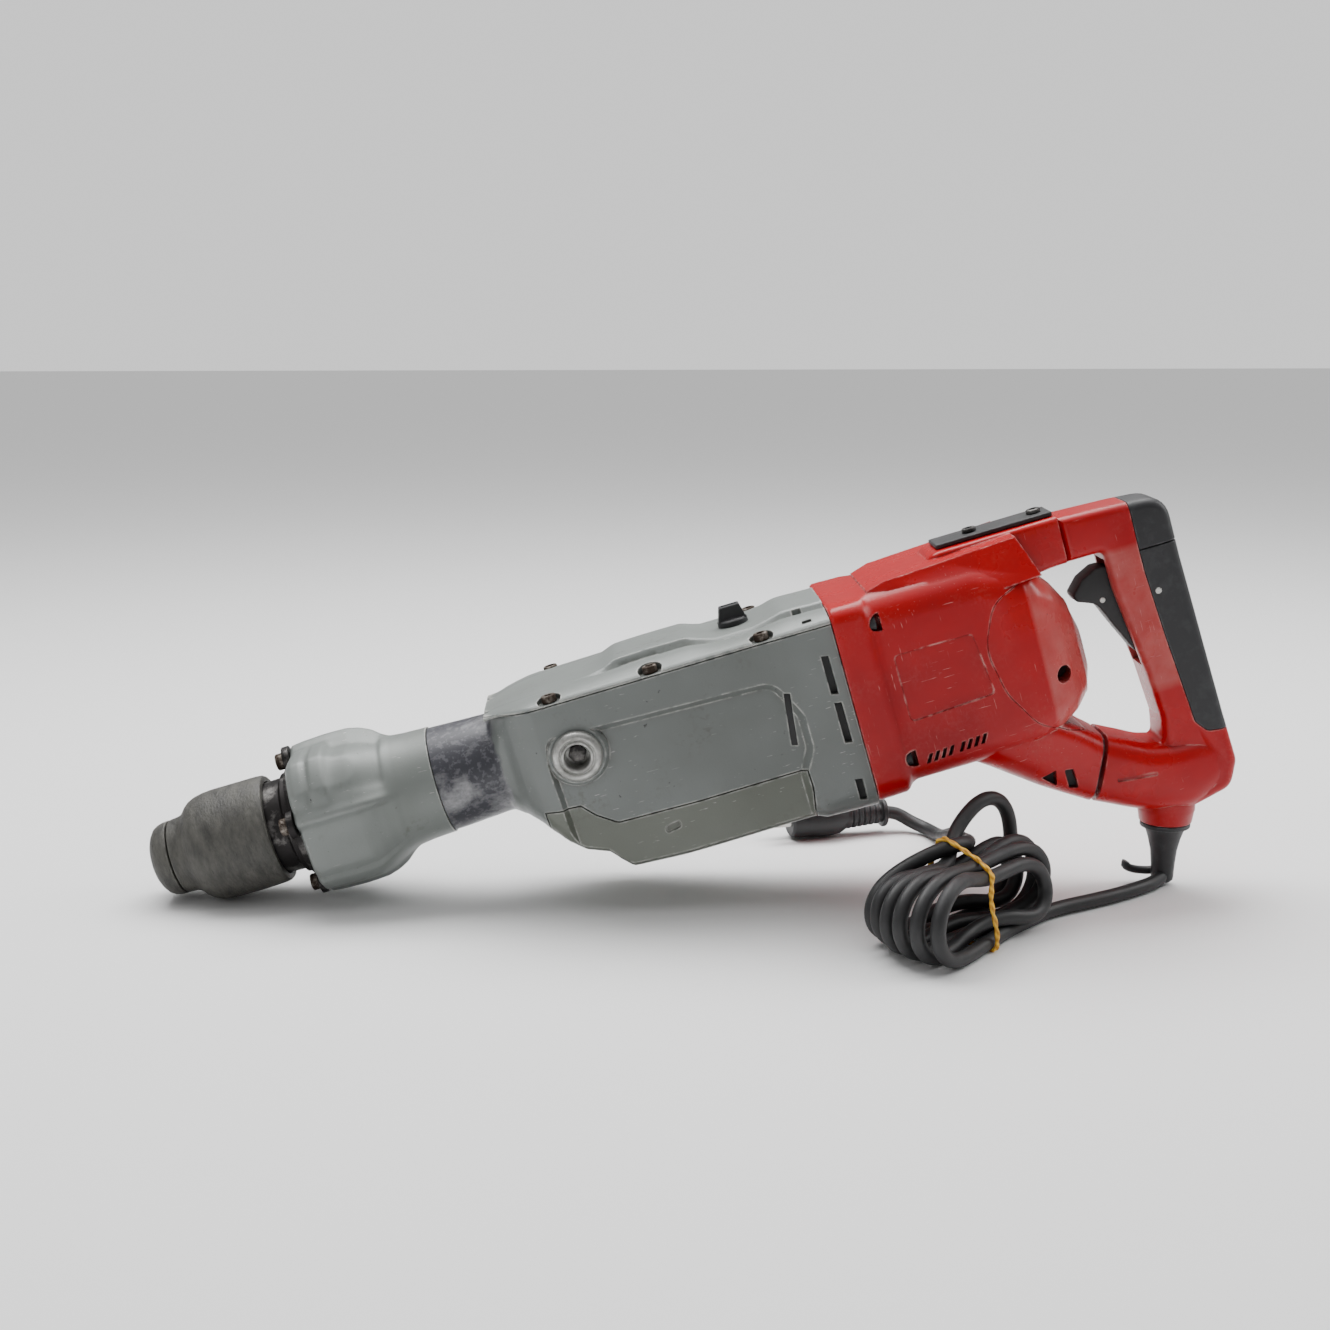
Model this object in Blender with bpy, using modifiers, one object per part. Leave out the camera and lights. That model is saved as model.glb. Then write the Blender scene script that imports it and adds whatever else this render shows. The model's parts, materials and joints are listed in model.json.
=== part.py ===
"""A breaker-class demolition hammer standing on its nose and cord boot, one object for each part.

Most parts are laid out in the tool's own frame, in millimetres: s runs from the nose to the handle along the
bore's axis, y runs across the tool, and u is square to both, towards the top plate. An empty tilts that
frame so that the tool rests on its locking sleeve. The cord lies on the floor, in the world's frame.
"""
import math

import bmesh
import bpy
from mathutils import Matrix, Vector

MM = 0.001
TILT = math.radians(16.2)
NOSE = (-318.0, 0.0, 22.1)
GAP = 0.3
SIDES = (("left", -1), ("right", 1))
FULL_TURN = 2 * math.pi
CORNER_STEPS = 3
ARC_STEPS = 3

MOTOR_U = -16.0
CRANK_S = 345.0
CRANK_THROW = 15.0
PINION_TEETH, CRANK_GEAR_TEETH = 9, 39
MESH_GAP = 0.9
WRIST_S = 252.0
HANDLE_PIVOT = (555.0, 35.0)
TRIGGER_PIVOT = (578.7, -6.2)
SELECTOR_S = 367.0
SEAM_U = 34.0
FLANGE_SCREW_RADIUS = 37.0
FLANGE_SCREW_TURN = math.radians(12)
COVER_SCREW_S = (253.5, 313.3, 379.0)
COVER_SCREW_Y = 41.0
LONG_SCREW_U = (27.0, -55.0)
LONG_SCREW_Y = 43.5
PLATE_SCREW_S = (514.4, 553.4)
REAR_SCREW = (541.0, -35.0)
CORD_RADIUS = 4.25
SOCKET_X, SOCKET_BOTTOM, SOCKET_TOP = 286.6, 40.2, 56.0

LOOKS = {
    "grey_paint": ((0.36, 0.38, 0.36), 0.5, 0.2),
    "olive_paint": ((0.30, 0.33, 0.30), 0.5, 0.2),
    "red_plastic": ((0.50, 0.012, 0.02), 0.38, 0.0),
    "black_plastic": ((0.02, 0.02, 0.022), 0.5, 0.0),
    "black_rubber": ((0.03, 0.03, 0.032), 0.7, 0.0),
    "sleeve_rubber": ((0.07, 0.065, 0.06), 0.65, 0.0),
    "dark_steel": ((0.08, 0.075, 0.07), 0.4, 0.9),
    "bright_steel": ((0.55, 0.55, 0.55), 0.3, 1.0),
    "rusty_steel": ((0.22, 0.15, 0.10), 0.6, 0.8),
    "copper": ((0.60, 0.28, 0.12), 0.4, 1.0),
    "carbon": ((0.04, 0.04, 0.04), 0.8, 0.0),
    "yellow_tie": ((0.80, 0.42, 0.03), 0.5, 0.0),
}


def empty_scene():
    for old in list(bpy.data.objects):
        bpy.data.objects.remove(old, do_unlink=True)


def collection(name):
    made = bpy.data.collections.new(name)
    bpy.context.scene.collection.children.link(made)
    return made


empty_scene()
PARTS = collection("demolition_hammer")
CUTTERS = collection("cutters")
TOOL = bpy.data.objects.new("tool_frame", None)
TOOL.location = Vector(NOSE) * MM
TOOL.rotation_euler = (0, -TILT, 0)
PARTS.objects.link(TOOL)


def look(name):
    """The material called name, made on first use."""
    if name in bpy.data.materials:
        return bpy.data.materials[name]
    colour, roughness, metallic = LOOKS[name]
    made = bpy.data.materials.new(name)
    made.use_nodes = True
    shader = made.node_tree.nodes["Principled BSDF"]
    shader.inputs["Base Color"].default_value = (*colour, 1)
    shader.inputs["Roughness"].default_value = roughness
    shader.inputs["Metallic"].default_value = metallic
    return made


def put(name, mesh, look_name, at=(0, 0, 0), parent=TOOL):
    """Link mesh, whose points are in metres, as an object at the point at, in millimetres.

    Without a look the object is a cutter: it shapes other parts and is left out itself.
    """
    made = bpy.data.objects.new(name, mesh)
    made.location = Vector(at) * MM
    made.parent = parent
    if look_name:
        PARTS.objects.link(made)
        mesh.materials.append(look(look_name))
    else:
        CUTTERS.objects.link(made)
        made.hide_render = True
        made.display_type = "WIRE"
    mesh.shade_smooth()
    mesh.set_sharp_from_angle(angle=math.radians(32))
    return made


def boolean(target, cutter, operation="DIFFERENCE"):
    step = target.modifiers.new(operation.title(), "BOOLEAN")
    step.operation = operation
    step.object = cutter
    step.solver = "EXACT"


def bevel(target, width, segments=2):
    step = target.modifiers.new("Bevel", "BEVEL")
    step.width = width * MM
    step.segments = segments
    step.limit_method = "ANGLE"
    step.angle_limit = math.radians(50)
    step.use_clamp_overlap = True


def mesh_from(bm, name, at=(0, 0, 0)):
    """bm, in millimetres, becomes a mesh in metres, measured from the point at."""
    bmesh.ops.translate(bm, verts=bm.verts, vec=-Vector(at))
    bmesh.ops.scale(bm, verts=bm.verts, vec=(MM, MM, MM))
    bmesh.ops.recalc_face_normals(bm, faces=bm.faces)
    mesh = bpy.data.meshes.new(name)
    bm.to_mesh(mesh)
    bm.free()
    return mesh


# ---- Lofts: rounded rectangles joined into one body ----

def station(bottom, top, half_width, top_radius, bottom_radius):
    """A cross-section between two (s, u) points, as a list of (s, y, u) points around it."""
    low, high = Vector(bottom), Vector(top)
    height = (high - low).length
    up = (high - low) / height
    points = []
    corners = ((1, height, top_radius, 0), (-1, height, top_radius, 90),
               (-1, 0, bottom_radius, 180), (1, 0, bottom_radius, 270))
    for side, level, radius, start in corners:
        radius = min(radius, half_width - 0.01, height / 2 - 0.01)
        centre_y = side * (half_width - radius)
        centre_v = level - radius if level else radius
        for step in range(CORNER_STEPS + 1):
            angle = math.radians(start + 90 * step / CORNER_STEPS)
            y = centre_y + radius * math.cos(angle)
            v = centre_v + radius * math.sin(angle)
            place = low + up * v
            points.append((place.x, y, place.y))
    return points


def upright(s, low, high, half_width, top_radius, bottom_radius=None):
    """A cross-section square to the bore."""
    if bottom_radius is None:
        bottom_radius = top_radius
    return station((s, low), (s, high), half_width, top_radius, bottom_radius)


def loft(name, stations, look_name=None, at=(0, 0, 0), parent=TOOL):
    bm = bmesh.new()
    rings = [[bm.verts.new(point) for point in points] for points in stations]
    for ring, following in zip(rings, rings[1:]):
        count = len(ring)
        for i in range(count):
            j = (i + 1) % count
            bm.faces.new((ring[i], ring[j], following[j], following[i]))
    bm.faces.new(rings[0])
    bm.faces.new(rings[-1])
    return put(name, mesh_from(bm, name, at), look_name, at, parent)


# ---- Turned parts: a profile spun about an axis ----

AXES = {"s": Matrix.Rotation(math.pi / 2, 4, "Y"), "u": Matrix.Identity(4),
        "y": Matrix.Rotation(-math.pi / 2, 4, "X")}


def turned(name, profile, look_name=None, at=(0, 0, 0), axis="s", steps=24, parent=TOOL):
    """Spin profile, a list of (distance along axis, radius), about the axis through at.

    The profile runs along the outer side with the axis, then back inside. A profile that starts
    and ends on the axis makes a solid, and any other is closed into a ring.
    """
    closed = profile[0][1] > 0
    bm = bmesh.new()
    points = [bm.verts.new((radius * MM, 0, along * MM)) for along, radius in reversed(profile)]
    for first, second in zip(points, points[1:]):
        bm.edges.new((first, second))
    if closed:
        bm.edges.new((points[-1], points[0]))
    mesh = bpy.data.meshes.new(name)
    bm.to_mesh(mesh)
    bm.free()
    made = put(name, mesh, look_name, at, parent)
    made.rotation_euler = AXES[axis].to_euler()
    screw = made.modifiers.new("Screw", "SCREW")
    screw.axis = "Z"
    screw.angle = FULL_TURN
    screw.steps = screw.render_steps = steps
    screw.use_merge_vertices = True
    screw.merge_threshold = 0.00001
    screw.use_smooth_shade = True
    return made


def facing(profile, way):
    """The profile itself, or with way -1 its mirror image, which points the other way along the axis."""
    return profile if way > 0 else [(-along, radius) for along, radius in reversed(profile)]


def rod(name, start, length, radius, look_name=None, at=(0, 0, 0), axis="s", steps=20, way=1, parent=TOOL):
    profile = [(start, 0), (start, radius), (start + length, radius), (start + length, 0)]
    return turned(name, facing(profile, way), look_name, at, axis, steps, parent)


def cap_screw(name, at, axis, direction, head=(4.6, 5.0), shank=(2.4, 12.0), look_name="rusty_steel"):
    """A socket head screw whose head stands on the point at and points along direction (1 or -1)."""
    radius, height = head
    shank_radius, length = shank
    profile = [(-length, 0), (-length, shank_radius), (0, shank_radius), (0, radius),
               (height, radius), (height, radius * 0.5), (height * 0.4, radius * 0.5), (height * 0.4, 0)]
    return turned(name, facing(profile, direction), look_name, at, axis, steps=8)


# ---- Flat outlines in the (s, u) plane, given thickness across the tool ----

def rounded(points):
    """Replace each point (s, u, radius) with an arc; points without a radius stay sharp."""
    outline = []
    count = len(points)
    for i, point in enumerate(points):
        here = Vector(point[:2])
        if len(point) < 3:
            outline.append(here)
            continue
        before = (Vector(points[i - 1][:2]) - here)
        after = (Vector(points[(i + 1) % count][:2]) - here)
        reach = min(point[2] / math.tan(before.angle(after) / 2), before.length * 0.49, after.length * 0.49)
        start, end = here + before.normalized() * reach, here + after.normalized() * reach
        for step in range(ARC_STEPS + 1):
            t = step / ARC_STEPS
            outline.append(start * (1 - t) ** 2 + here * 2 * t * (1 - t) + end * t * t)
    return outline


def offset(points, distance):
    """The outline moved sideways: outwards with a positive distance where it runs anticlockwise."""
    result = []
    count = len(points)
    for i, point in enumerate(points):
        before = (Vector(point[:2]) - Vector(points[i - 1][:2])).normalized()
        after = (Vector(points[(i + 1) % count][:2]) - Vector(point[:2])).normalized()
        first, second = Vector((before.y, -before.x)), Vector((after.y, -after.x))
        moved = Vector(point[:2]) + (first + second) * distance / (1 + first.dot(second))
        result.append((*moved, *point[2:]))
    return result


def plate(name, points, half_width, look_name=None, at=(0, 0), centre_y=0, parent=TOOL):
    """The outline as a slab from centre_y - half_width to centre_y + half_width."""
    outline = rounded(points)
    curve = bpy.data.curves.new(name, "CURVE")
    curve.dimensions = "2D"
    curve.fill_mode = "BOTH"
    curve.extrude = half_width * MM
    spline = curve.splines.new("POLY")
    spline.points.add(len(outline) - 1)
    for slot, (s, u) in zip(spline.points, outline):
        slot.co = ((s - at[0]) * MM, (u - at[1]) * MM, 0, 1)
    spline.use_cyclic_u = True
    mesh = mesh_of_curve(curve, name)
    mesh.transform(Matrix.Rotation(math.pi / 2, 4, "X"))
    return put(name, mesh, look_name, (at[0], centre_y, at[1]), parent)


def mesh_of_curve(curve, name):
    """The curve's evaluated shape as a closed mesh; the curve is removed."""
    drawn = bpy.data.objects.new(name + "_curve", curve)
    bpy.context.scene.collection.objects.link(drawn)
    depsgraph = bpy.context.evaluated_depsgraph_get()
    mesh = bpy.data.meshes.new_from_object(drawn.evaluated_get(depsgraph))
    bpy.data.objects.remove(drawn, do_unlink=True)
    bm = bmesh.new()
    bm.from_mesh(mesh)
    bmesh.ops.remove_doubles(bm, verts=bm.verts, dist=0.00001)
    bmesh.ops.recalc_face_normals(bm, faces=bm.faces)
    bm.to_mesh(mesh)
    bm.free()
    mesh.materials.clear()
    return mesh


def box(name, low, high, look_name=None, at=(0, 0, 0), parent=TOOL):
    """A box between two corners (s, y, u)."""
    bm = bmesh.new()
    bmesh.ops.create_cube(bm, size=1)
    size = [b - a for a, b in zip(low, high)]
    middle = [(a + b) / 2 for a, b in zip(low, high)]
    bmesh.ops.scale(bm, verts=bm.verts, vec=size)
    bmesh.ops.translate(bm, verts=bm.verts, vec=middle)
    return put(name, mesh_from(bm, name, at), look_name, at, parent)


# ---- Curves: cord and spring ----

def catmull(points, steps):
    """A smooth curve through points, with steps points from each one to the next."""
    ends = [points[0]] + list(points) + [points[-1]]
    line = []
    for a, b, c, d in zip(ends, ends[1:], ends[2:], ends[3:]):
        a, b, c, d = (Vector(p) for p in (a, b, c, d))
        for step in range(steps):
            t = step / steps
            line.append(0.5 * (2 * b + (c - a) * t + (2 * a - 5 * b + 4 * c - d) * t * t
                               + (3 * b - a - 3 * c + d) * t ** 3))
    line.append(Vector(points[-1]))
    return line


def tube(name, line, radius, look_name, at=(0, 0, 0), parent=None, sides=2):
    """A round bar along line, a list of points in millimetres."""
    curve = bpy.data.curves.new(name, "CURVE")
    curve.dimensions = "3D"
    curve.bevel_depth = radius * MM
    curve.bevel_resolution = sides
    curve.use_fill_caps = True
    spline = curve.splines.new("POLY")
    spline.points.add(len(line) - 1)
    for slot, point in zip(spline.points, line):
        slot.co = (*((Vector(point) - Vector(at)) * MM), 1)
    mesh = mesh_of_curve(curve, name)
    return put(name, mesh, look_name, at, parent)


# ---- Tool holder, sleeve and striking parts ----

def build_tool_holder():
    turned("dust_cap", [(-1, 14), (0, 19), (3, 21.5), (11.5, 22.3), (11.5, 15.8), (3.1, 15.8), (3.1, 9.7),
                        (-1, 9.7)], "sleeve_rubber")
    holder = turned("tool_holder", [(3.5, 15.4), (93.3, 15.4), (93.3, 26.8), (99, 26.8), (99, 17), (150, 17),
                                    (150, 12.2), (88, 12.2), (88, 9.2), (3.5, 9.2)], "bright_steel")
    for side, way in (("top", 1), ("bottom", -1)):
        slot = box("roller_slot_" + side, (39.6, -3.8, way * 8.6), (56.4, 3.8, way * 16.5))
        boolean(holder, slot)
        rod("locking_roller_" + side, 40, 16, 3.4, "bright_steel", (0, 0, way * 12.3), steps=12)
    turned("locking_sleeve", [(14.3, 22.6), (20, 23.6), (25.5, 29), (32, 32.3), (40, 33), (68, 33),
                              (72.5, 32.6),
                              (74, 31.2), (74, 28.4), (30, 28.4), (30, 16.1), (14.3, 16.1)], "sleeve_rubber",
           steps=28)
    turns, points_a_turn, first, last = 4.5, 12, 32.6, 62.0
    count = int(turns * points_a_turn)
    coil = []
    for i in range(count + 1):
        angle = FULL_TURN * i / points_a_turn
        coil.append((first + (last - first) * i / count, 21.5 * math.cos(angle), 21.5 * math.sin(angle)))
    tube("sleeve_spring", coil, 1.3, "bright_steel", parent=TOOL, sides=1)
    collar = turned("front_collar", [(64.5, 27.2), (84.5, 27.6), (84.8, 30.2), (88.4, 30.2), (88.4, 32),
                                     (92.9, 32), (92.9, 15.8), (64.5, 15.8)], "dark_steel")
    for index in range(4):
        angle = FLANGE_SCREW_TURN + index * math.pi / 2
        place = (88.6, FLANGE_SCREW_RADIUS * math.sin(angle), FLANGE_SCREW_RADIUS * math.cos(angle))
        boolean(collar, rod(f"collar_ear_{index}", 0.1, 4, 8, None, place, steps=14), "UNION")
        boolean(collar, rod(f"collar_hole_{index}", -5, 14, 3.1, None, place, steps=8))
        cap_screw(f"flange_screw_{index + 1}", (88.3, *place[1:]), "s", -1, (5, 4.6), (2.7, 14))


def build_barrel():
    barrel = loft("barrel_housing", [
        upright(93.2, -41, 40, 39, 21), upright(97, -42.5, 41.5, 41.5, 22),
        upright(128, -42, 41.5, 41.5, 24),
        upright(141, -38, 38, 38, 28), upright(152, -33.5, 34, 33.7, 33.6),
        upright(175.4, -31.7, 32.3, 32, 31.9),
    ], "grey_paint")
    bore = turned("barrel_bore", [(80, 0), (80, 27.1), (99.4, 27.1), (99.4, 17.3), (150.4, 17.3),
                                  (150.4, 25),
                                  (190, 25), (190, 0)])
    boolean(barrel, bore)
    for index in range(4):
        angle = FLANGE_SCREW_TURN + index * math.pi / 2
        place = (0, FLANGE_SCREW_RADIUS * math.sin(angle), FLANGE_SCREW_RADIUS * math.cos(angle))
        boolean(barrel, rod(f"barrel_hole_{index}", 80, 24, 3.1, None, place, steps=8))
    turned("guide_cylinder", [(151.5, 24.6), (298, 24.6), (298, 20), (151.5, 20)], "bright_steel")


def build_striker():
    turned("beat_piece", [(96, 0), (96, 9), (99, 11.9), (158, 11.9), (158, 15), (167, 15), (169, 11),
                          (169, 0)],
           "bright_steel", steps=16)
    rod("ram", 196, 37, 19.7, "bright_steel")
    piston = rod("piston", 237, 26, 19.7, "bright_steel")
    boolean(piston, box("piston_slot", (243, -13, -3.9), (270, 13, 3.9)))
    boolean(piston, rod("piston_pin_hole", -25, 50, 4.2, None, (WRIST_S, 0, 0), "u", 12))
    rod("wrist_pin", -15, 30, 4.0, "bright_steel", (WRIST_S, 0, 0), "u", 12)
    eye_s = CRANK_S - CRANK_THROW
    link = link_blank("connecting_rod", [(WRIST_S, 8.5), (eye_s, 11.5)], 5, 3.3, "dark_steel",
                      (WRIST_S, 0, 0))
    boolean(link, rod("rod_small_eye", -9, 18, 4.2, None, (WRIST_S, 0, 0), "u", 12))
    boolean(link, rod("rod_big_eye", -9, 18, 5.6, None, (eye_s, 0, 0), "u", 12))


def link_blank(name, ends, half_beam, half_height, look_name, at):
    """Two round eyes, each (s, radius), joined by a beam, flat in the (s, y) plane."""
    (first, small), (second, large) = ends
    bm = bmesh.new()
    outline = []
    for centre, radius, start in ((second, large, -math.pi / 2), (first, small, math.pi / 2)):
        reach = math.asin(half_beam / radius)
        span = FULL_TURN - 2 * reach
        for step in range(13):
            side = math.pi if centre == second else 0
            angle = side + reach + span * step / 12
            outline.append((centre + radius * math.cos(angle), radius * math.sin(angle)))
    lower = [bm.verts.new((s, y, -half_height)) for s, y in outline]
    face = bm.faces.new(lower)
    top = bmesh.ops.extrude_face_region(bm, geom=[face])["geom"]
    raised = [item for item in top if isinstance(item, bmesh.types.BMVert)]
    bmesh.ops.translate(bm, verts=raised, vec=(0, 0, 2 * half_height))
    return put(name, mesh_from(bm, name, at), look_name, at)


# ---- Gearcase ----

def crankcase_outline(name, look_name=None):
    """The outer body from the neck to the motor joint, before it is split into three castings."""
    return loft(name, [
        upright(175.8, -31, 31.6, 31.3, 31.2), upright(200, -29.6, 30.6, 30.2, 30),
        upright(214, -28.6, 30.4, 29.6, 28), upright(219, -30.5, 35, 31.5, 8, 14),
        upright(226, -34, 36, 38, 5, 14),
        upright(233, -41, 37, 43, 4, 14), upright(242, -50, 37, 46.5, 4, 14),
        upright(249, -56, 37, 47, 4, 14),
        upright(261, -60.5, 37, 47, 4, 14), upright(266, -67, 37, 47, 4, 14),
        upright(273, -73.5, 37, 47, 4, 14),
        upright(311, -75.5, 37, 47, 4, 14), upright(381, -75, 37, 47, 4, 14),
        upright(388, -78.5, 37, 47.6, 4, 16),
        upright(418.5, -78.5, 37.5, 48, 5, 16),
    ], look_name)


LOWER_COVER_EDGE = [(232, -26), (253, -27.5), (260, -35.3, 6), (271, -43.2, 6), (319, -44.5), (384, -44),
                    (384.5, -55), (382.5, -68), (382.5, -100), (200, -100), (200, -60), (232, -40)]


def cover_ridge(name, look_name=None, inset=0):
    """The raised middle of the top cover, with its two humps."""
    heights = [(226, 35.6), (240, 37.6), (279, 39.6), (296, 45.2), (335, 45.8), (355, 40.6), (374, 40.6),
               (396, 44.4), (418.5 - inset, 43.8)]
    return loft(name, [upright(s, 30, high - inset, 27 - inset - max(0, 240 - s) * 0.4, 6, 1)
                       for s, high in heights], look_name)


def build_gearcase():
    case = crankcase_outline("gearcase", "grey_paint")
    above = box("above_seam", (210, -70, SEAM_U), (430, 70, 80))
    boolean(case, above)
    boolean(case, plate("below_seam", LOWER_COVER_EDGE, 70))
    boolean(case, rod("neck_bore", 160, 80, 25.2, None, steps=32))
    boolean(case, box("crank_chamber", (232, -37.5, -39.5), (404, 37.5, 60)))
    boolean(case, rod("bearing_seat", 400, 30, 14.1, None, (0, 0, MOTOR_U), steps=24))
    cover = crankcase_outline("top_cover", "grey_paint")
    boolean(cover, box("cover_block", (210, -70, SEAM_U + GAP), (430, 70, 80)), "INTERSECT")
    boolean(cover, cover_ridge("ridge_outside"), "UNION")
    boolean(cover, box("ridge_foot", (200, -60, 20), (440, 60, SEAM_U + GAP)))
    boolean(cover, cover_ridge("ridge_inside", inset=4))
    lower = crankcase_outline("lower_cover", "olive_paint")
    boolean(lower, plate("lower_block", offset(LOWER_COVER_EDGE, GAP), 70), "INTERSECT")
    boolean(lower,
            loft("lower_hollow", [upright(278, -69, -30, 41, 1, 10), upright(377, -70, -30, 41, 1, 10)]))
    for side, way in SIDES:
        boolean(case, rod("bush_seat_" + side, 30, 30, 9.3, None, (260, 0, 2.5), "y", 24, way))
        bush = [(38, 0), (38, 9), (47.3, 9), (47.3, 15.3), (52, 15.3), (53, 14.4), (53, 7), (40, 7), (40, 0)]
        turned("side_bush_" + side, facing(bush, way), "bright_steel", (260, 0, 2.5), "y", 20)
    for index, s in enumerate(COVER_SCREW_S):
        for side, way in SIDES:
            place = (s, way * COVER_SCREW_Y, 35.2)
            name = f"{side}_{index + 1}"
            pocket_at = (s, way * (COVER_SCREW_Y + 1.2), 34.9)
            boolean(cover, rod("cover_pocket_" + name, GAP, 14, 6.6, None, pocket_at, "u", 10))
            boolean(cover, rod("cover_hole_" + name, -10, 20, 2.7, None, place, "u", 8))
            boolean(case, rod("case_hole_" + name, -13, 20, 2.7, None, place, "u", 8))
            cap_screw("cover_screw_" + name, (s, place[1], 35.4), "u", 1, (4.3, 4.4), (2.4, 11))
    for name, place in long_screws():
        boolean(case, rod("case_" + name, -34, 30, 2.9, None, place, steps=8))
    turned("front_bearing", [(405.5, 13.8), (414.5, 13.8), (414.5, 6.3), (405.5, 6.3)], "bright_steel",
           (0, 0, MOTOR_U), steps=16)
    selector_at = (SELECTOR_S, 0, 41)
    selector = turned("speed_selector", [(0, 0), (0, 9), (3.4, 9), (3.8, 8.4), (3.8, 0)], "black_plastic",
                      selector_at, "u", 24)
    wing = plate("selector_wing", [(359.5, 43), (361.5, 52.5, 1), (373, 52.5, 1), (375, 43)], 4)
    boolean(selector, wing, "UNION")


# ---- Crank drive and motor ----

def pitch_radius(reach):
    """The pinion's pitch radius at a distance from the crank's axis; both bevel cones meet on that axis."""
    return reach * PINION_TEETH / CRANK_GEAR_TEETH


def build_crankshaft():
    rim, hub = 36, 24
    rim_face = MOTOR_U - pitch_radius(rim) - MESH_GAP / 2
    hub_face = MOTOR_U - pitch_radius(hub) - MESH_GAP / 2
    crank = turned("crankshaft", [(-39, 0), (-39, 8), (-35, 8), (-35, rim), (rim_face, rim), (hub_face, hub),
                                  (hub_face, 12), (-13, 12), (-13, 22), (-8.2, 22), (-8.2, 0)], "dark_steel",
                   (CRANK_S, 0, 0), "u", 20)
    boolean(crank, rod("crank_pin", -9, 5.2, 5, None, (CRANK_S - CRANK_THROW, 0, 0), "u", 10), "UNION")


def build_motor():
    motor_axis = (0, 0, MOTOR_U)
    tip, heel = 370, 384
    tip_radius = pitch_radius(tip - CRANK_S) - MESH_GAP / 2
    heel_radius = pitch_radius(heel - CRANK_S) - MESH_GAP / 2
    turned("armature", [(tip, 0), (tip, tip_radius), (heel, heel_radius), (386, 6), (420, 6), (424, 10),
                        (427, 10), (427, 36),
                        (432, 36), (432, 10), (440, 10), (440, 22.6), (492, 22.6), (492, 7), (497, 7),
                        (497, 15),
                        (512, 15), (512, 5), (524, 5), (524, 0)], "copper", motor_axis, steps=16)
    turned("field_stator", [(438.5, 42.4), (494, 42.4), (494, 23.6), (438.5, 23.6)], "dark_steel",
           motor_axis, steps=20)
    turned("rear_bearing", [(517, 10.8), (524.6, 10.8), (524.6, 5.3), (517, 5.3)], "bright_steel",
           motor_axis,
           steps=16)
    for side, way in SIDES:
        low, high = sorted((way * 15.4, way * 33))
        box("carbon_brush_" + side, (500, low, MOTOR_U - 3.5), (509, high, MOTOR_U + 3.5), "carbon")


def long_screws():
    """Name and head seat of each screw that holds the motor housing to the gearcase."""
    for level, u in zip(("upper", "lower"), LONG_SCREW_U):
        for side, way in SIDES:
            yield f"housing_screw_{level}_{side}", (437, way * LONG_SCREW_Y, u)


def red_body(name, look_name):
    """Motor housing and rear cover as one shape: the drum with a wide shoulder, an upper and a lower arm."""
    body = loft(name, [
        upright(418.9, -75.5, 42, 51, 10, 14), upright(436, -75.5, 42, 51, 10, 14),
        upright(439.5, -73, 42.5, 49.5, 12, 16), upright(442, -71.5, 43, 47.5, 18, 16),
        upright(500, -72, 43, 47.5, 20, 18), upright(517, -71, 38, 47, 18, 18),
        upright(530, -68, 30, 44.5, 14, 16),
        upright(546, -63, 19, 33, 12, 12), upright(556, -57, 2, 22, 10, 10),
        upright(560.5, -48, -15, 12, 8, 8),
    ], look_name)
    upper = loft(name + "_upper_arm", [
        upright(470, 10, 40, 14, 4), upright(487, 15, 50, 19, 5, 4), upright(492, 18, 51, 20, 5, 4),
        upright(530, 20, 51, 19.5, 5, 5), upright(562.3, 22.6, 51, 18.5, 5, 6)])
    shoulder = loft(name + "_shoulder", [
        station((445, 24), (445, 44.5), 40, 5, 1), station((455, 24), (455, 47), 42, 4, 1),
        station((541, 26.5), (533.5, 50), 41, 4, 1)])
    boolean(body, shoulder, "UNION")
    lower = loft(name + "_lower_arm", [
        station((470, -66), (496, -40), 40, 8, 14), station((484, -76), (515, -50), 43, 8, 16),
        station((499.5, -89), (533, -62), 38, 8, 16), station((513, -100.5), (546, -73), 32, 8, 14),
        station((541, -120.5), (557.8, -83), 25, 10, 12)])
    boolean(body, upper, "UNION")
    boolean(body, lower, "UNION")
    return body


COVER_SEAM = [(575, 21.5), (545.2, 21.3), (532, 26.2, 20), (510, 20, 20), (499.5, -6, 30), (505, -34, 30),
              (518, -56, 20),
              (537, -69.5, 20), (556, -79), (575, -79)]


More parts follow.
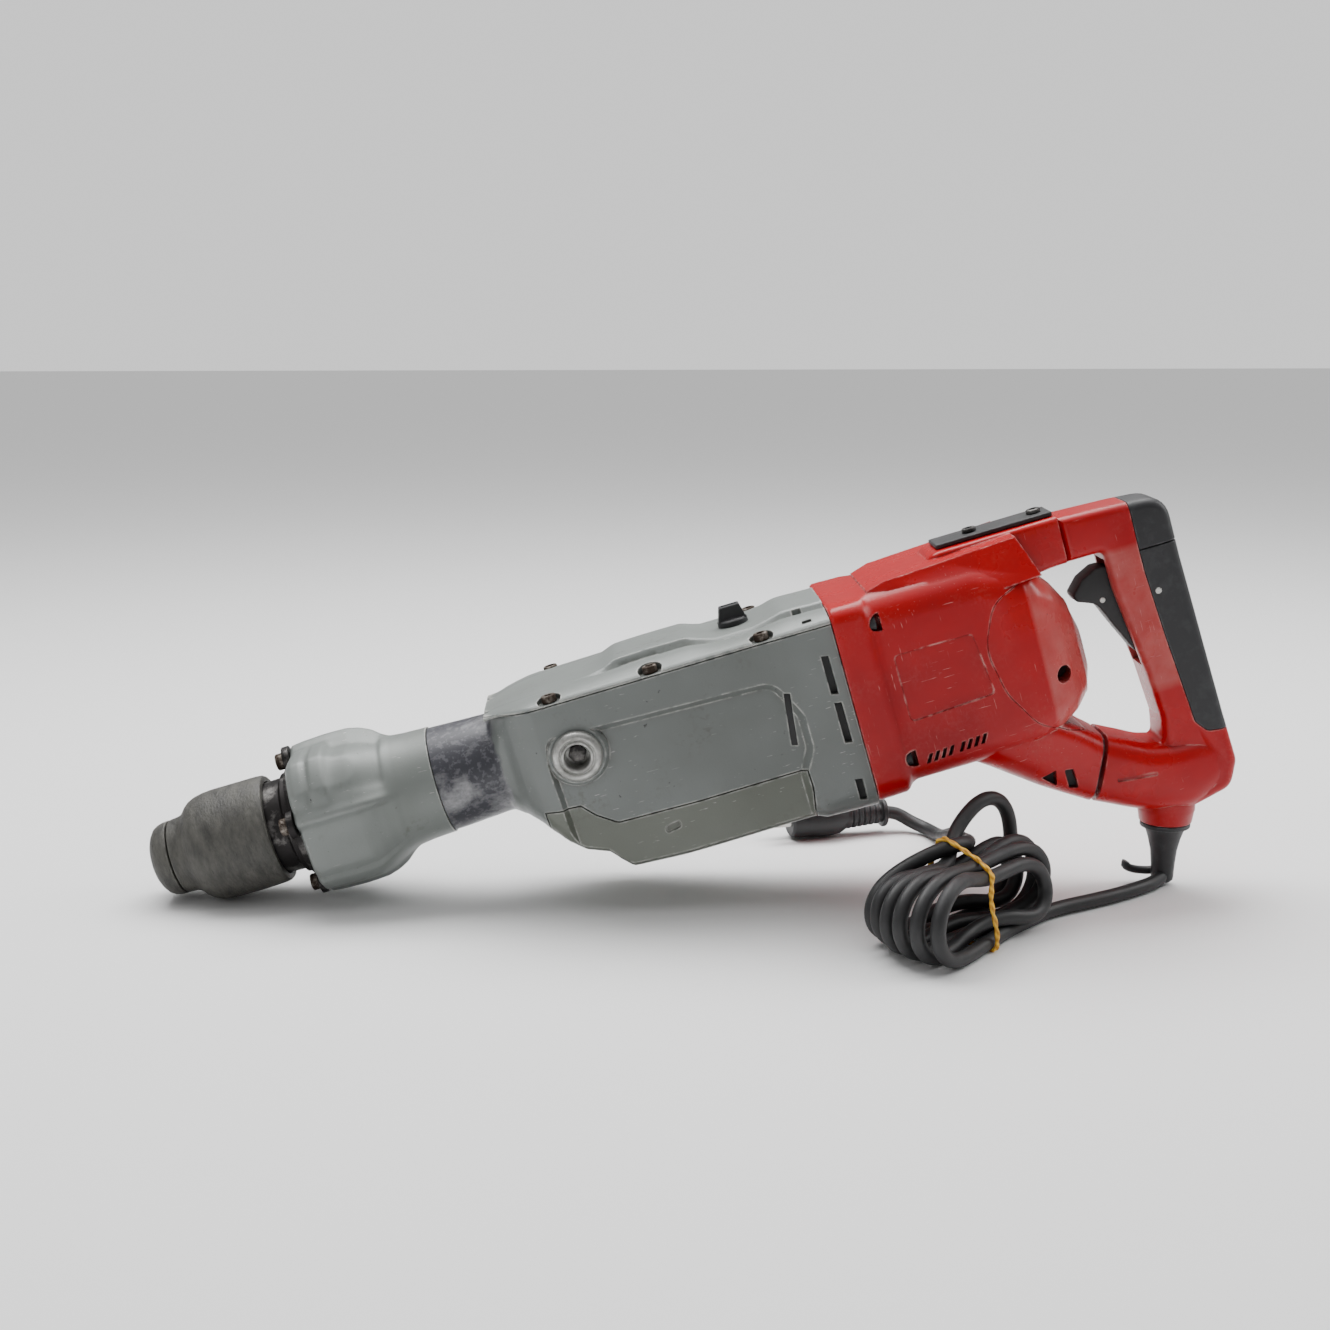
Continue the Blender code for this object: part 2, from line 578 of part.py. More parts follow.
def build_red_housings():
    motor_axis = (0, 0, MOTOR_U)
    housing = red_body("motor_housing", "red_plastic")
    boolean(housing, plate("cover_space", offset(COVER_SEAM, GAP), 80))
    cover = red_body("rear_cover", "red_plastic")
    boolean(cover, plate("cover_limit", COVER_SEAM, 80), "INTERSECT")
    space = turned("motor_space", [(400, 0), (400, 43), (515, 43), (515, 11.1), (526, 11.1), (526, 0)], None,
                   motor_axis, steps=32)
    boolean(housing, space)
    boolean(cover, space)
    for side, way in SIDES:
        boolean(cover, rod("rear_screw_hole_" + side, 20, 60, 5, None, (REAR_SCREW[0], 0, REAR_SCREW[1]),
                           "y", 12, way))
    for name, place in long_screws():
        boolean(housing, rod("pocket_" + name, 0, 16, 5.6, None, place, steps=10))
        boolean(housing, rod("hole_" + name, -30, 40, 2.9, None, place, steps=8))
        cap_screw(name, (place[0] + GAP, *place[1:]), "s", 1, (4.4, 6), (2.5, 30), "black_plastic")
    pivot_s, pivot_u = HANDLE_PIVOT
    boolean(housing, box("tongue_slot", (545, -9, 26), (580, 9, 44)))
    boolean(housing, rod("pivot_hole", -40, 80, 3.3, None, (pivot_s, 0, pivot_u), "y", 16))
    rod("handle_pivot_pin", -17.5, 35, 3, "bright_steel", (pivot_s, 0, pivot_u), "y", 16)
    badge = box("top_plate", (491.5, -12, 51.3), (561.5, 12, 53.9), "black_plastic")
    for index, s in enumerate(PLATE_SCREW_S):
        for target, name in ((housing, "pad"), (badge, "plate")):
            boolean(target, rod(f"{name}_hole_{index}", -9, 20, 2.2, None, (s, 0, 54.2), "u", 8))
        cap_screw(f"plate_screw_{index + 1}", (s, 0, 54.2), "u", 1, (4.2, 2.2), (1.8, 7.5), "dark_steel")
    loft("handle_buffer", [station((542.8, -117.6), (557.7, -84.5), 22, 8, 9),
                           station((543.6, -118), (558.5, -84.9), 22, 8, 9)], "black_rubber")


# ---- Handle, trigger and cord socket ----

HANDLE_EDGE = [(563, 22.6), (563, 49.3), (600, 47.4, 20), (627, 45, 15), (627.4, 8, 20), (631, -90, 20),
               (632.6, -122, 10), (626, -137, 12), (600, -143, 20), (572, -135), (546, -121.5), (562, -86.5),
               (573, -92.5, 10), (592.5, -100, 5), (594.8, -84, 5), (592.5, -55, 20), (585, 0, 20),
               (584.5, 22.6, 4)]
GRIP_SEAM = [(604.4, 17.8), (604.7, 4, 10), (607.6, -35), (611.6, -76), (613, -91, 6), (619, -98.5, 6),
             (650, -103)]
BLACK_SIDE = [(604.3, 90)] + GRIP_SEAM + [(650, 90)]


def handle_outline(name, look_name=None):
    body = plate(name, HANDLE_EDGE, 17, look_name, HANDLE_PIVOT)
    bevel(body, 5.5)
    return body


def build_handle():
    handle = handle_outline("handle", "red_plastic")
    wide = loft("lower_handle_block", [
        station((543.9, -121.7), (560.6, -84.3), 25, 10, 12), station((556, -128.5), (573, -91), 25, 10, 14),
        station((575, -138), (586, -97.5), 24.5, 10, 16), station((600, -144.5), (600, -100.6), 22.5, 10,
                                                                  16),
        station((618, -139.5), (615, -101.5), 19, 10, 14), station((630, -127), (627, -107), 13, 8, 8)])
    boolean(handle, wide, "UNION")
    boolean(handle, box("tongue", (547.5, -8, 28.5), (570, 8, 41.5)), "UNION")
    pivot_s, pivot_u = HANDLE_PIVOT
    boolean(handle, rod("tongue_hole", -40, 80, 3.2, None, (pivot_s, 0, pivot_u), "y", 16))
    boolean(handle, plate("black_space", offset(BLACK_SIDE, GAP), 60))
    boolean(handle,
            plate("trigger_slot", [(572, 17.2), (602, 17.2), (604.3, -49), (588, -51), (580, -20)], 9.4))
    boolean(handle, box("switch_space", (586, -12, 15), (601.7, 12, 42)))
    cap = handle_outline("handle_cap", "black_rubber")
    boolean(cap, plate("cap_limit", [(604.4, 90), (604.4, 18.4), (650, 18.4), (650, 90)], 60), "INTERSECT")
    grip = handle_outline("grip_overmould", "black_rubber")
    boolean(grip, plate("grip_limit", GRIP_SEAM + [(650, 17.8)], 60), "INTERSECT")
    trigger = plate("trigger", [(583.5, 13.2, 2), (579, 13.4, 2), (569.7, 8.9, 2), (562.3, 1, 3),
                                (564, -3.2, 2),
                                (575, -7.6, 10), (582, -23.5, 10), (590.5, -41.5, 2), (596.5, -42.5, 2),
                                (594.5, 8, 3)], 8.6, "black_plastic", TRIGGER_PIVOT)
    bevel(trigger, 1, 1)
    box("switch", (587, -11, 18), (600.8, 11, 41), "black_plastic")
    socket_at = (SOCKET_X, 0, 0)
    rise = SOCKET_TOP - SOCKET_BOTTOM
    recess = rod("socket_recess", SOCKET_BOTTOM - 10, rise + 10.4, 17.6, None, socket_at, "u", 24, 1, None)
    boolean(handle, recess)
    turned("cord_socket", [(SOCKET_BOTTOM, 0), (SOCKET_BOTTOM, 15.6), (48, 17.2), (SOCKET_TOP, 17.2),
                           (SOCKET_TOP, 0)], "red_plastic", socket_at, "u", 24, None)
    boot = turned("cord_boot", [(11.8, 0), (11.8, 6.9), (22, 7.4), (33, 10.5), (36, 12), (37, 15),
                                (39.9, 15),
                                (39.9, 0)], "black_rubber", socket_at, "u", 20, None)
    hook = box("boot_hook", (SOCKET_X - 24, 2, 8.4), (SOCKET_X + 1, 8.5, 13.2), None, (0, 0, 0), None)
    boolean(boot, hook, "UNION")


# ---- Cord, bundle and plug, laid on the floor ----

CORD_ROUTE = [(285.2, -2.8, 6.9), (279, -9, 5.5), (270, -18, 4.8), (258, -26, 4.7), (240, -33, 4.7),
              (224, -38, 4.8), (213.5, -43, 5.2)]
TAIL_ROUTE = [(155, -46, 40), (152, -36, 41.5), (152.5, -22, 41), (156, 0, 34), (160.5, 24, 25),
              (164, 50, 15),
              (165.5, 74, 7.5), (164, 94, 5.5), (158, 109, 6.5), (150, 116.5, 9.5), (142.4, 118, 12.4),
              (135.2, 116.7, 13.5)]
HANK_AT, HANK_TURN = (148, -92, 0), math.radians(40)
PLUG_AT, PLUG_TURN = (134.4, 116.5, 13.5), math.radians(12)


def build_cord():
    tube("cord", catmull(CORD_ROUTE, 4), CORD_RADIUS, "black_rubber")
    tube("cord_tail", catmull(TAIL_ROUTE, 3), CORD_RADIUS, "black_rubber")
    hank = loft("cord_hank", [
        upright(-70, 4, 28, 12, 10), upright(-60, 0, 40, 28, 12), upright(-30, 0, 46, 32, 14),
        upright(-9, 0, 42, 23, 12), upright(-5, 4.2, 41, 22, 12), upright(5, 4.2, 41, 22, 12),
        upright(9, 0, 43, 24, 12), upright(40, 0, 54, 29, 14), upright(62, 0, 56, 26, 14),
        upright(76, 5, 40, 12, 10),
    ], "black_rubber", parent=None)
    hank.location = Vector(HANK_AT) * MM
    hank.rotation_euler = (0, 0, HANK_TURN)
    loop = station((0, 2), (0, 43.2), 24.2, 13, 13)
    tie = tube("hank_tie", loop, 1.6, "yellow_tie", sides=1)
    tie.location = Vector(HANK_AT) * MM
    tie.rotation_euler = (0, 0, HANK_TURN)
    plug = turned("plug", [(-67, 0), (-67, 10), (-65, 12.5), (-45, 13.2), (-30, 12), (-27, 8.5), (-3, 7),
                           (-3, 9.4),
                           (-0.3, 9.4), (-0.3, 0)], "black_rubber", PLUG_AT, "s", 20, None)
    plug.rotation_euler = (Matrix.Rotation(PLUG_TURN, 4, "Z") @ AXES["s"]).to_euler()
    for side, y in (("left", -6.35), ("right", 6.35)):
        blade = box("blade_" + side, (-84, y - 0.8, -3.2), (-60, y + 0.8, 3.2), None, (0, 0, 0), None)
        blade.location = Vector(PLUG_AT) * MM
        blade.rotation_euler = (0, 0, PLUG_TURN)
        boolean(plug, blade, "UNION")


def build():
    build_tool_holder()
    build_barrel()
    build_striker()
    build_gearcase()
    build_crankshaft()
    build_motor()
    build_red_housings()
    build_handle()
    build_cord()
    bpy.context.view_layer.update()


build()
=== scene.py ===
"""Looks for a demolition hammer that stands on its nose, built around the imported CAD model.

Points are laid out in the tool's own frame, in millimetres, as in the CAD: s from the nose to the handle
along the bore, y across the tool, u towards the top plate. The cord is laid out in the row's frame, in
millimetres.
"""
import json
import math

import bmesh
import bpy
import numpy as np
from mathutils import Matrix, Vector


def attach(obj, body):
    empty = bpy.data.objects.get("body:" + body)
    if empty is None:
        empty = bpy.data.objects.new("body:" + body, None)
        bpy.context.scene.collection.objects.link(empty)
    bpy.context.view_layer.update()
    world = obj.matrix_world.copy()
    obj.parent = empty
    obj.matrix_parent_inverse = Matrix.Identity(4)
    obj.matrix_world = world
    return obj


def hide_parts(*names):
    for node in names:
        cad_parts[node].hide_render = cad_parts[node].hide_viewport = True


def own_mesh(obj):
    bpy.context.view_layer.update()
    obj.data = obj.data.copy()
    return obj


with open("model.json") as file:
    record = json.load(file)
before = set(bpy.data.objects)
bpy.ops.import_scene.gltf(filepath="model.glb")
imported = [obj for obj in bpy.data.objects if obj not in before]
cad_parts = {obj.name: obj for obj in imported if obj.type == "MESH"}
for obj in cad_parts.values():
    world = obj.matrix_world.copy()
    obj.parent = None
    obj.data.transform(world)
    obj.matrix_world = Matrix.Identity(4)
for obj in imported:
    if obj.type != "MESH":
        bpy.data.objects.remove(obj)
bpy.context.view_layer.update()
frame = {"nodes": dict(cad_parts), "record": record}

MM = 0.001
TILT = math.radians(16.2)
NOSE = Vector((-0.318, 0.0, 0.0221))
TOOL = Matrix.Translation(NOSE) @ Matrix.Rotation(-TILT, 4, "Y")
ROW = Matrix.Identity(4)
SIDES = (("left", -1), ("right", 1))
FULL_TURN = 2 * math.pi

MOTOR_U = -16.0
HANDLE_PIVOT = (555.0, 35.0)
TRIGGER_PIVOT = (578.7, -6.2)
SELECTOR_S = 367.0
SEAM_U = 34.0
FLANGE_SCREW_RADIUS = 37.0
FLANGE_SCREW_TURN = math.radians(12)
COVER_SCREW_S = (253.5, 313.3, 379.0)
COVER_SCREW_Y = 41.0
COVER_SCREW_U = 35.2
LONG_SCREW_U = (27.0, -55.0)
LONG_SCREW_Y = 43.5
PLATE_SCREW_S = (514.4, 553.4)
PLATE_SCREW_U = 54.2
REAR_SCREW = (541.0, -35.0)
BUSH = (260.0, 2.5)
CORD_RADIUS = 4.25
SOCKET_X = 286.6
GAP = 0.3


# ---- Camera, light and floor ----

def add_camera():
    data = bpy.data.cameras.new("camera")
    data.lens = 51.43
    data.sensor_width = 36
    camera = bpy.data.objects.new("camera", data)
    camera.location = (-0.0639, -1.0956, 0.3683)
    camera.rotation_euler = (math.radians(78.2), 0, math.radians(-2.444))
    bpy.context.scene.collection.objects.link(camera)
    bpy.context.scene.camera = camera


def add_light(name, at, target, size, power, colour=(1, 1, 1)):
    data = bpy.data.lights.new(name, "AREA")
    data.shape = "RECTANGLE"
    data.size, data.size_y = size
    data.energy = power
    data.color = colour
    light = bpy.data.objects.new(name, data)
    light.location = at
    light.rotation_euler = (Vector(target) - Vector(at)).to_track_quat("-Z", "Y").to_euler()
    bpy.context.scene.collection.objects.link(light)


def add_stage():
    bpy.ops.mesh.primitive_plane_add(size=12, location=(0, 0, 0))
    floor = bpy.context.object
    floor.name = "floor"
    material, _, _, shader = graph("floor_white")
    shader.inputs["Base Color"].default_value = (0.84, 0.84, 0.84, 1)
    shader.inputs["Roughness"].default_value = 0.6
    floor.data.materials.append(material)
    world = bpy.data.worlds.new("studio")
    world.use_nodes = True
    nodes, links = world.node_tree.nodes, world.node_tree.links
    glow, seen = nodes["Background"], nodes.new("ShaderNodeBackground")
    glow.inputs["Strength"].default_value = 0.30
    seen.inputs["Strength"].default_value = 1.0
    for background in (glow, seen):
        background.inputs["Color"].default_value = (1, 1, 1, 1)
    either = nodes.new("ShaderNodeMixShader")
    links.new(nodes.new("ShaderNodeLightPath").outputs["Is Camera Ray"], either.inputs[0])
    links.new(glow.outputs[0], either.inputs[1])
    links.new(seen.outputs[0], either.inputs[2])
    links.new(either.outputs[0], nodes["World Output"].inputs["Surface"])
    bpy.context.scene.world = world
    sky = bpy.data.lights.new("overhead", "SUN")
    sky.energy = 1.5
    sky.angle = math.radians(80)
    overhead = bpy.data.objects.new("overhead", sky)
    overhead.rotation_euler = (math.radians(-12), 0, 0)
    bpy.context.scene.collection.objects.link(overhead)
    add_light("top_back", (-0.15, 0.5, 1.35), (0, 0, 0.05), (1.7, 0.8), 36)
    add_light("left_front", (-1.3, -1.2, 1.0), (-0.1, 0, 0.1), (0.8, 0.8), 2.5)
    add_light("right_rim", (1.35, 0.15, 0.9), (0.15, 0, 0.1), (0.5, 0.9), 9)


# ---- Materials ----

def graph(name):
    """(material, add, link, shader). add() makes a node, with inputs by name and attributes by keyword."""
    material = bpy.data.materials.new(name)
    material.use_nodes = True
    nodes, links = material.node_tree.nodes, material.node_tree.links
    shader = nodes["Principled BSDF"]

    def add(kind, inputs=None, **settings):
        node = nodes.new("ShaderNode" + kind)
        for key, value in settings.items():
            setattr(node, key, value)
        for key, value in (inputs or {}).items():
            if isinstance(value, bpy.types.NodeSocket):
                links.new(value, node.inputs[key])
            else:
                node.inputs[key].default_value = value
        return node

    return material, add, links.new, shader


def tool_coordinates(add):
    """The (s, y, u) coordinates of a surface point, in metres, the same at every pose."""
    turned_nose = Matrix.Rotation(TILT, 3, "Y") @ NOSE
    place = add("TexCoord").outputs["Object"]
    return add("Mapping", {"Vector": place, "Location": -turned_nose,
                           "Rotation": (0, TILT, 0)}).outputs["Vector"]


def stretched(add, place, scale):
    return add("Mapping", {"Vector": place, "Scale": scale}).outputs["Vector"]


def ramp(add, value, low, high):
    """0 at low and 1 at high, held beyond both."""
    return add("MapRange", {"Value": value, "From Min": low, "From Max": high}).outputs["Result"]


def patches(add, place, scale, low, high, detail=5.0, roughness=0.6):
    """Noise cut to a mask: 0 below low, 1 above high."""
    cloud = add("TexNoise", {"Vector": place, "Scale": scale, "Detail": detail, "Roughness": roughness})
    return ramp(add, cloud.outputs["Fac"], low, high)


def occlusion_shade_mask(add, distance, low=0.55, high=0.95):
    """A mask from ambient occlusion, 1 in corners and grooves and 0 on open faces, used to paint shade
    there.
    """
    open_sky = add("AmbientOcclusion", {"Distance": distance}, samples=4, only_local=True).outputs["AO"]
    return ramp(add, open_sky, high, low)


def times(add, first, second):
    return add("Math", {0: first, 1: second}, operation="MULTIPLY").outputs["Value"]


def edges(add, radius, low=0.004, high=0.07):
    """A mask that is 1 along edges sharper than the radius."""
    soft = add("Bevel", {"Radius": radius}, samples=4).outputs["Normal"]
    hard = add("NewGeometry").outputs["Normal"]
    agree = add("VectorMath", {0: soft, 1: hard}, operation="DOT_PRODUCT").outputs["Value"]
    differ = add("Math", {0: 1.0, 1: agree}, operation="SUBTRACT").outputs["Value"]
    return ramp(add, differ, low, high)


def tint(add, mask, below, above):
    """below where mask is 0, above where it is 1."""
    mix = add("Mix", {0: mask}, data_type="RGBA")
    for socket, value in ((mix.inputs[6], below), (mix.inputs[7], above)):
        if isinstance(value, bpy.types.NodeSocket):
            mix.id_data.links.new(value, socket)
        else:
            socket.default_value = (*value, 1)
    return mix.outputs[2]


def finish(add, link, shader, colour, roughness, height, bump):
    """Connect colour, a roughness mask with its two limits, and a bump of that height in metres."""
    mask, smooth, rough = roughness
    link(colour, shader.inputs["Base Color"])
    spread = add("MapRange", {"Value": mask, "To Min": smooth, "To Max": rough}).outputs["Result"]
    link(spread, shader.inputs["Roughness"])
    soft = add("Bevel", {"Radius": 0.0008}, samples=4).outputs["Normal"]
    relief = add("Bump", {"Height": height, "Distance": bump, "Strength": 0.6, "Normal": soft})
    link(relief.outputs["Normal"], shader.inputs["Normal"])


def painted_casting(name, base, shade, neck=False):
    """Worn paint on a casting: faint stains, dirt patches with painted shade in corners, chips, scuffed
    edges and a rubbed neck.
    """
    material, add, link, shader = graph(name)
    place = tool_coordinates(add)
    stains = patches(add, place, 9, 0.35, 0.75, 3.0)
    colour = tint(add, stains, base, shade)
    smudges = times(add, patches(add, place, 26, 0.56, 0.74), patches(add, place, 300, 0.50, 0.62))
    colour = tint(add, times(add, smudges, 0.55), colour, (0.075, 0.072, 0.055))
    # Painted shade: corners and grooves darkened by ambient occlusion, broken up by dirt patches.
    grime_and_shade = times(add, occlusion_shade_mask(add, 0.006), patches(add, place, 120, 0.34, 0.62))
    colour = tint(add, times(add, grime_and_shade, 0.85), colour, (0.045, 0.042, 0.034))
    chips = times(add, patches(add, place, 230, 0.68, 0.70), patches(add, place, 22, 0.46, 0.6))
    colour = tint(add, chips, colour, (0.03, 0.03, 0.028))
    worn = times(add, edges(add, 0.0016), patches(add, place, 130, 0.38, 0.56))
    colour = tint(add, worn, colour, (0.50, 0.50, 0.47))
    lines = times(add, patches(add, stretched(add, place, (40, 330, 330)), 3, 0.70, 0.72, 2.0),
                  patches(add, place, 15, 0.45, 0.6))
    colour = tint(add, lines, colour, (0.42, 0.42, 0.40))
    if neck:
        s = add("SeparateXYZ", {"Vector": place}).outputs["X"]
        ragged = add("TexNoise", {"Vector": place, "Scale": 60.0, "Detail": 4.0}).outputs["Fac"]
        shifted = add("Math", {0: ragged, 1: 0.012, 2: s}, operation="MULTIPLY_ADD").outputs["Value"]
        band = ramp(add, shifted, 0.222, 0.220)
        smear = patches(add, stretched(add, place, (0.7, 1, 1)), 42, 0.47, 0.66, 8.0, 0.7)
        flecks = patches(add, place, 330, 0.52, 0.6, 4.0)
        bare = tint(add, smear, (0.042, 0.042, 0.052), (0.30, 0.30, 0.31))
        bare = tint(add, times(add, flecks, 0.5), bare, (0.15, 0.15, 0.165))
        colour = tint(add, band, colour, bare)
    finish(add, link, shader, colour, (stains, 0.32, 0.5),
           add("TexNoise", {"Vector": place, "Scale": 900.0, "Detail": 3.0}).outputs["Fac"], 0.00012)
    shader.inputs["Metallic"].default_value = 0.1
    return material


def scuffed_red():
    """Semi-gloss red nylon with a pale haze, white rubs on its edges and fine scratches."""
    material, add, link, shader = graph("scuffed_red")
    place = tool_coordinates(add)
    haze = patches(add, place, 14, 0.42, 0.75)
    colour = tint(add, haze, (0.43, 0.0008, 0.004), (0.31, 0.002, 0.006))
    dust = times(add, patches(add, place, 30, 0.5, 0.8), patches(add, place, 420, 0.45, 0.65))
    colour = tint(add, times(add, dust, 0.16), colour, (0.55, 0.20, 0.17))
    # Painted shade: corners and grooves darkened by ambient occlusion, broken up by dirt patches.
    grime_and_shade = times(add, occlusion_shade_mask(add, 0.006), patches(add, place, 120, 0.3, 0.6))
    colour = tint(add, times(add, grime_and_shade, 0.8), colour, (0.045, 0.006, 0.006))
    # Painted highlight: the rear cover behind s = 530 mm, between u = -65 and 22 mm, is tinted pale,
    # standing in for the light on a chamfer facet that is not modelled.
    along = add("SeparateXYZ", {"Vector": place})
    facet_highlight = ramp(add, along.outputs["X"], 0.529, 0.532)
    for low, high in ((0.024, 0.020), (-0.068, -0.062)):
        facet_highlight = times(add, facet_highlight, ramp(add, along.outputs["Z"], low, high))
    facet_highlight_strength = add("MapRange", {"Value": patches(add, place, 45, 0.3, 0.7), "To Min": 0.12, "To Max": 0.42})
    colour = tint(add, times(add, facet_highlight, facet_highlight_strength.outputs["Result"]), colour, (0.62, 0.27, 0.24))
    worn = times(add, edges(add, 0.0013, 0.005, 0.10), patches(add, place, 110, 0.46, 0.62))
    colour = tint(add, worn, colour, (0.75, 0.36, 0.33))
    for number, scale in enumerate(((22, 330, 380), (360, 330, 20))):
        lines = times(add, patches(add, stretched(add, place, scale), 3 + number, 0.70, 0.72, 2.0),
                      patches(add, place, 18 + number, 0.48, 0.6))
        colour = tint(add, lines, colour, (0.62, 0.22, 0.20))
    specks = patches(add, place, 240, 0.735, 0.75)
    colour = tint(add, specks, colour, (0.10, 0.012, 0.012))
    finish(add, link, shader, colour, (haze, 0.26, 0.46),
           add("TexNoise", {"Vector": place, "Scale": 1500.0, "Detail": 2.0}).outputs["Fac"], 0.00007)
    shader.inputs["Specular IOR Level"].default_value = 0.32
    return material


def old_rubber(name, dark, pale, mottle=(0.45, 0.7), grain=700.0, height=0.0001, streaks=(1, 1, 1)):
    """Matt rubber with paler dusty mottling; streaks stretches it."""
    material, add, link, shader = graph(name)
    place = stretched(add, tool_coordinates(add), streaks)
    dusty = patches(add, place, 60, *mottle, 9.0, 0.7)
    colour = tint(add, dusty, dark, pale)
    worn = times(add, edges(add, 0.0012), patches(add, place, 150, 0.42, 0.6))
    colour = tint(add, worn, colour, tuple(min(1.0, part * 1.7 + 0.02) for part in pale))
    cuts = patches(add, stretched(add, place, (300, 300, 40)), 2.6, 0.3, 0.27, 2.0)
    colour = tint(add, cuts, colour, (0.008, 0.008, 0.008))
    finish(add, link, shader, colour, (dusty, 0.5, 0.78),
           add("TexNoise", {"Vector": place, "Scale": grain, "Detail": 5.0}).outputs["Fac"], height)
    return material


def metal(name, bright, dark, spread=(0.4, 0.65), smooth=0.25, rough=0.55, metallic=0.9, scale=70.0):
    """Bare metal with darker oily or rusty patches."""
    material, add, link, shader = graph(name)
    place = tool_coordinates(add)
    patch = patches(add, place, scale, *spread, 8.0, 0.7)
    colour = tint(add, patch, bright, dark)
    finish(add, link, shader, colour, (patch, smooth, rough),
           add("TexNoise", {"Vector": place, "Scale": 500.0, "Detail": 6.0}).outputs["Fac"], 0.0001)
    shader.inputs["Metallic"].default_value = metallic
    return material


def twisted_tie():
    """Yellow waxed paper, with the diagonal shade of its twist."""
    material, add, link, shader = graph("twisted_tie")
    place = add("TexCoord").outputs["Object"]
    wave = add("TexWave", {"Vector": place, "Scale": 130.0, "Distortion": 1.5}, bands_direction="DIAGONAL")
    colour = tint(add, wave.outputs["Fac"], (0.62, 0.26, 0.01), (0.95, 0.56, 0.05))
    finish(add, link, shader, colour, (wave.outputs["Fac"], 0.4, 0.6), wave.outputs["Fac"], 0.0002)
    return material


def make_looks():
    black = (0.012, 0.012, 0.013)
    return {
        "grey_paint": painted_casting("grey_paint", (0.225, 0.243, 0.235), (0.165, 0.18, 0.168)),
        "neck_paint": painted_casting("neck_paint", (0.175, 0.19, 0.184), (0.125, 0.136, 0.127), neck=True),
        "olive_paint": painted_casting("olive_paint", (0.145, 0.156, 0.132), (0.105, 0.113, 0.092)),
        "red_plastic": scuffed_red(),
        "black_plastic": old_rubber("black_plastic", black, (0.035, 0.035, 0.038), (0.5, 0.8), 900.0,
                                    0.00005),
        "black_rubber": old_rubber("black_rubber", (0.018, 0.018, 0.02), (0.055, 0.056, 0.06), (0.5, 0.8)),
        "cord_rubber": old_rubber("cord_rubber", (0.014, 0.014, 0.015), (0.036, 0.036, 0.039), (0.5, 0.8),
                                  400.0),
        "sleeve_rubber": old_rubber("sleeve_rubber", (0.016, 0.015, 0.014), (0.115, 0.112, 0.098),
                                    (0.3, 0.75), 300.0,
                                    0.0009, (2.4, 1.0, 1.0)),
        "dark_steel": metal("dark_steel", (0.24, 0.23, 0.22), (0.022, 0.02, 0.02), (0.3, 0.52), 0.22, 0.5,
                            0.8, 55.0),
        "bright_steel": metal("bright_steel", (0.62, 0.61, 0.58), (0.33, 0.32, 0.29), (0.45, 0.75)),
        "worn_alloy": metal("worn_alloy", (0.50, 0.50, 0.48), (0.20, 0.20, 0.185), (0.4, 0.7), 0.28, 0.6,
                            0.7, 120.0),
        "rusty_steel": metal("rusty_steel", (0.26, 0.23, 0.20), (0.045, 0.03, 0.021), (0.32, 0.52), 0.3,
                             0.8, 0.6,
                             180.0),
        "copper": metal("copper", (0.62, 0.27, 0.12), (0.30, 0.12, 0.06), (0.5, 0.8)),
        "carbon": metal("carbon", (0.05, 0.05, 0.05), (0.02, 0.02, 0.02), (0.5, 0.8), 0.6, 0.9, 0.0),
        "yellow_tie": twisted_tie(),
    }


# ---- Meshes ----

def revolve(profile, steps=64, shape=None):
    """Turn a profile of (distance along, radius) about Z; a profile off the axis closes into a ring."""
    bm = bmesh.new()
    rings = []
    for along, radius in profile:
        if radius <= 0:
            rings.append([bm.verts.new((0, 0, along))] * steps)
            continue
        ring = []
        for step in range(steps):
            angle = FULL_TURN * step / steps
            reach = shape(along, radius, angle) if shape else radius
            ring.append(bm.verts.new((reach * math.cos(angle), reach * math.sin(angle), along)))
        rings.append(ring)
    pairs = list(zip(rings, rings[1:]))
    if profile[0][1] > 0:
        pairs.append((rings[-1], rings[0]))
    for ring, following in pairs:
        for i in range(steps):
            j = (i + 1) % steps
            corners = dict.fromkeys((ring[i], ring[j], following[j], following[i]))
            if len(corners) > 2:
                bm.faces.new(corners)
    return bm


AXES = {"s": Matrix.Rotation(math.pi / 2, 4, "Y"), "u": Matrix.Identity(4),
        "y": Matrix.Rotation(-math.pi / 2, 4, "X")}


def turned(profile, at=(0, 0, 0), axis="s", steps=64, way=1, shape=None):
    """A turned body in tool coordinates; way -1 points the profile the other way along the axis."""
    bm = revolve([(along * way, radius) for along, radius in profile], steps, shape)
    bmesh.ops.transform(bm, matrix=Matrix.Translation(Vector(at)) @ AXES[axis], verts=bm.verts)
    return bm


def rod(start, length, radius, at=(0, 0, 0), axis="s", steps=32, way=1):
    return turned([(start, 0), (start, radius), (start + length, radius), (start + length, 0)], at, axis,
                  steps, way)


def block(low, high):
    bm = bmesh.new()
    bmesh.ops.create_cube(bm, size=1)
    bmesh.ops.scale(bm, verts=bm.verts, vec=[b - a for a, b in zip(low, high)])
    bmesh.ops.translate(bm, verts=bm.verts, vec=[(a + b) / 2 for a, b in zip(low, high)])
    return bm


def rings_joined(rings):
    """Rings of points with the same count, joined into one closed body."""
    bm = bmesh.new()
    made = [[bm.verts.new(point) for point in ring] for ring in rings]
    for ring, following in zip(made, made[1:]):
        for i in range(len(ring)):
            j = (i + 1) % len(ring)
            bm.faces.new((ring[i], ring[j], following[j], following[i]))
    bm.faces.new(made[0])
    bm.faces.new(made[-1])
    return bm


CORNER_STEPS = 9


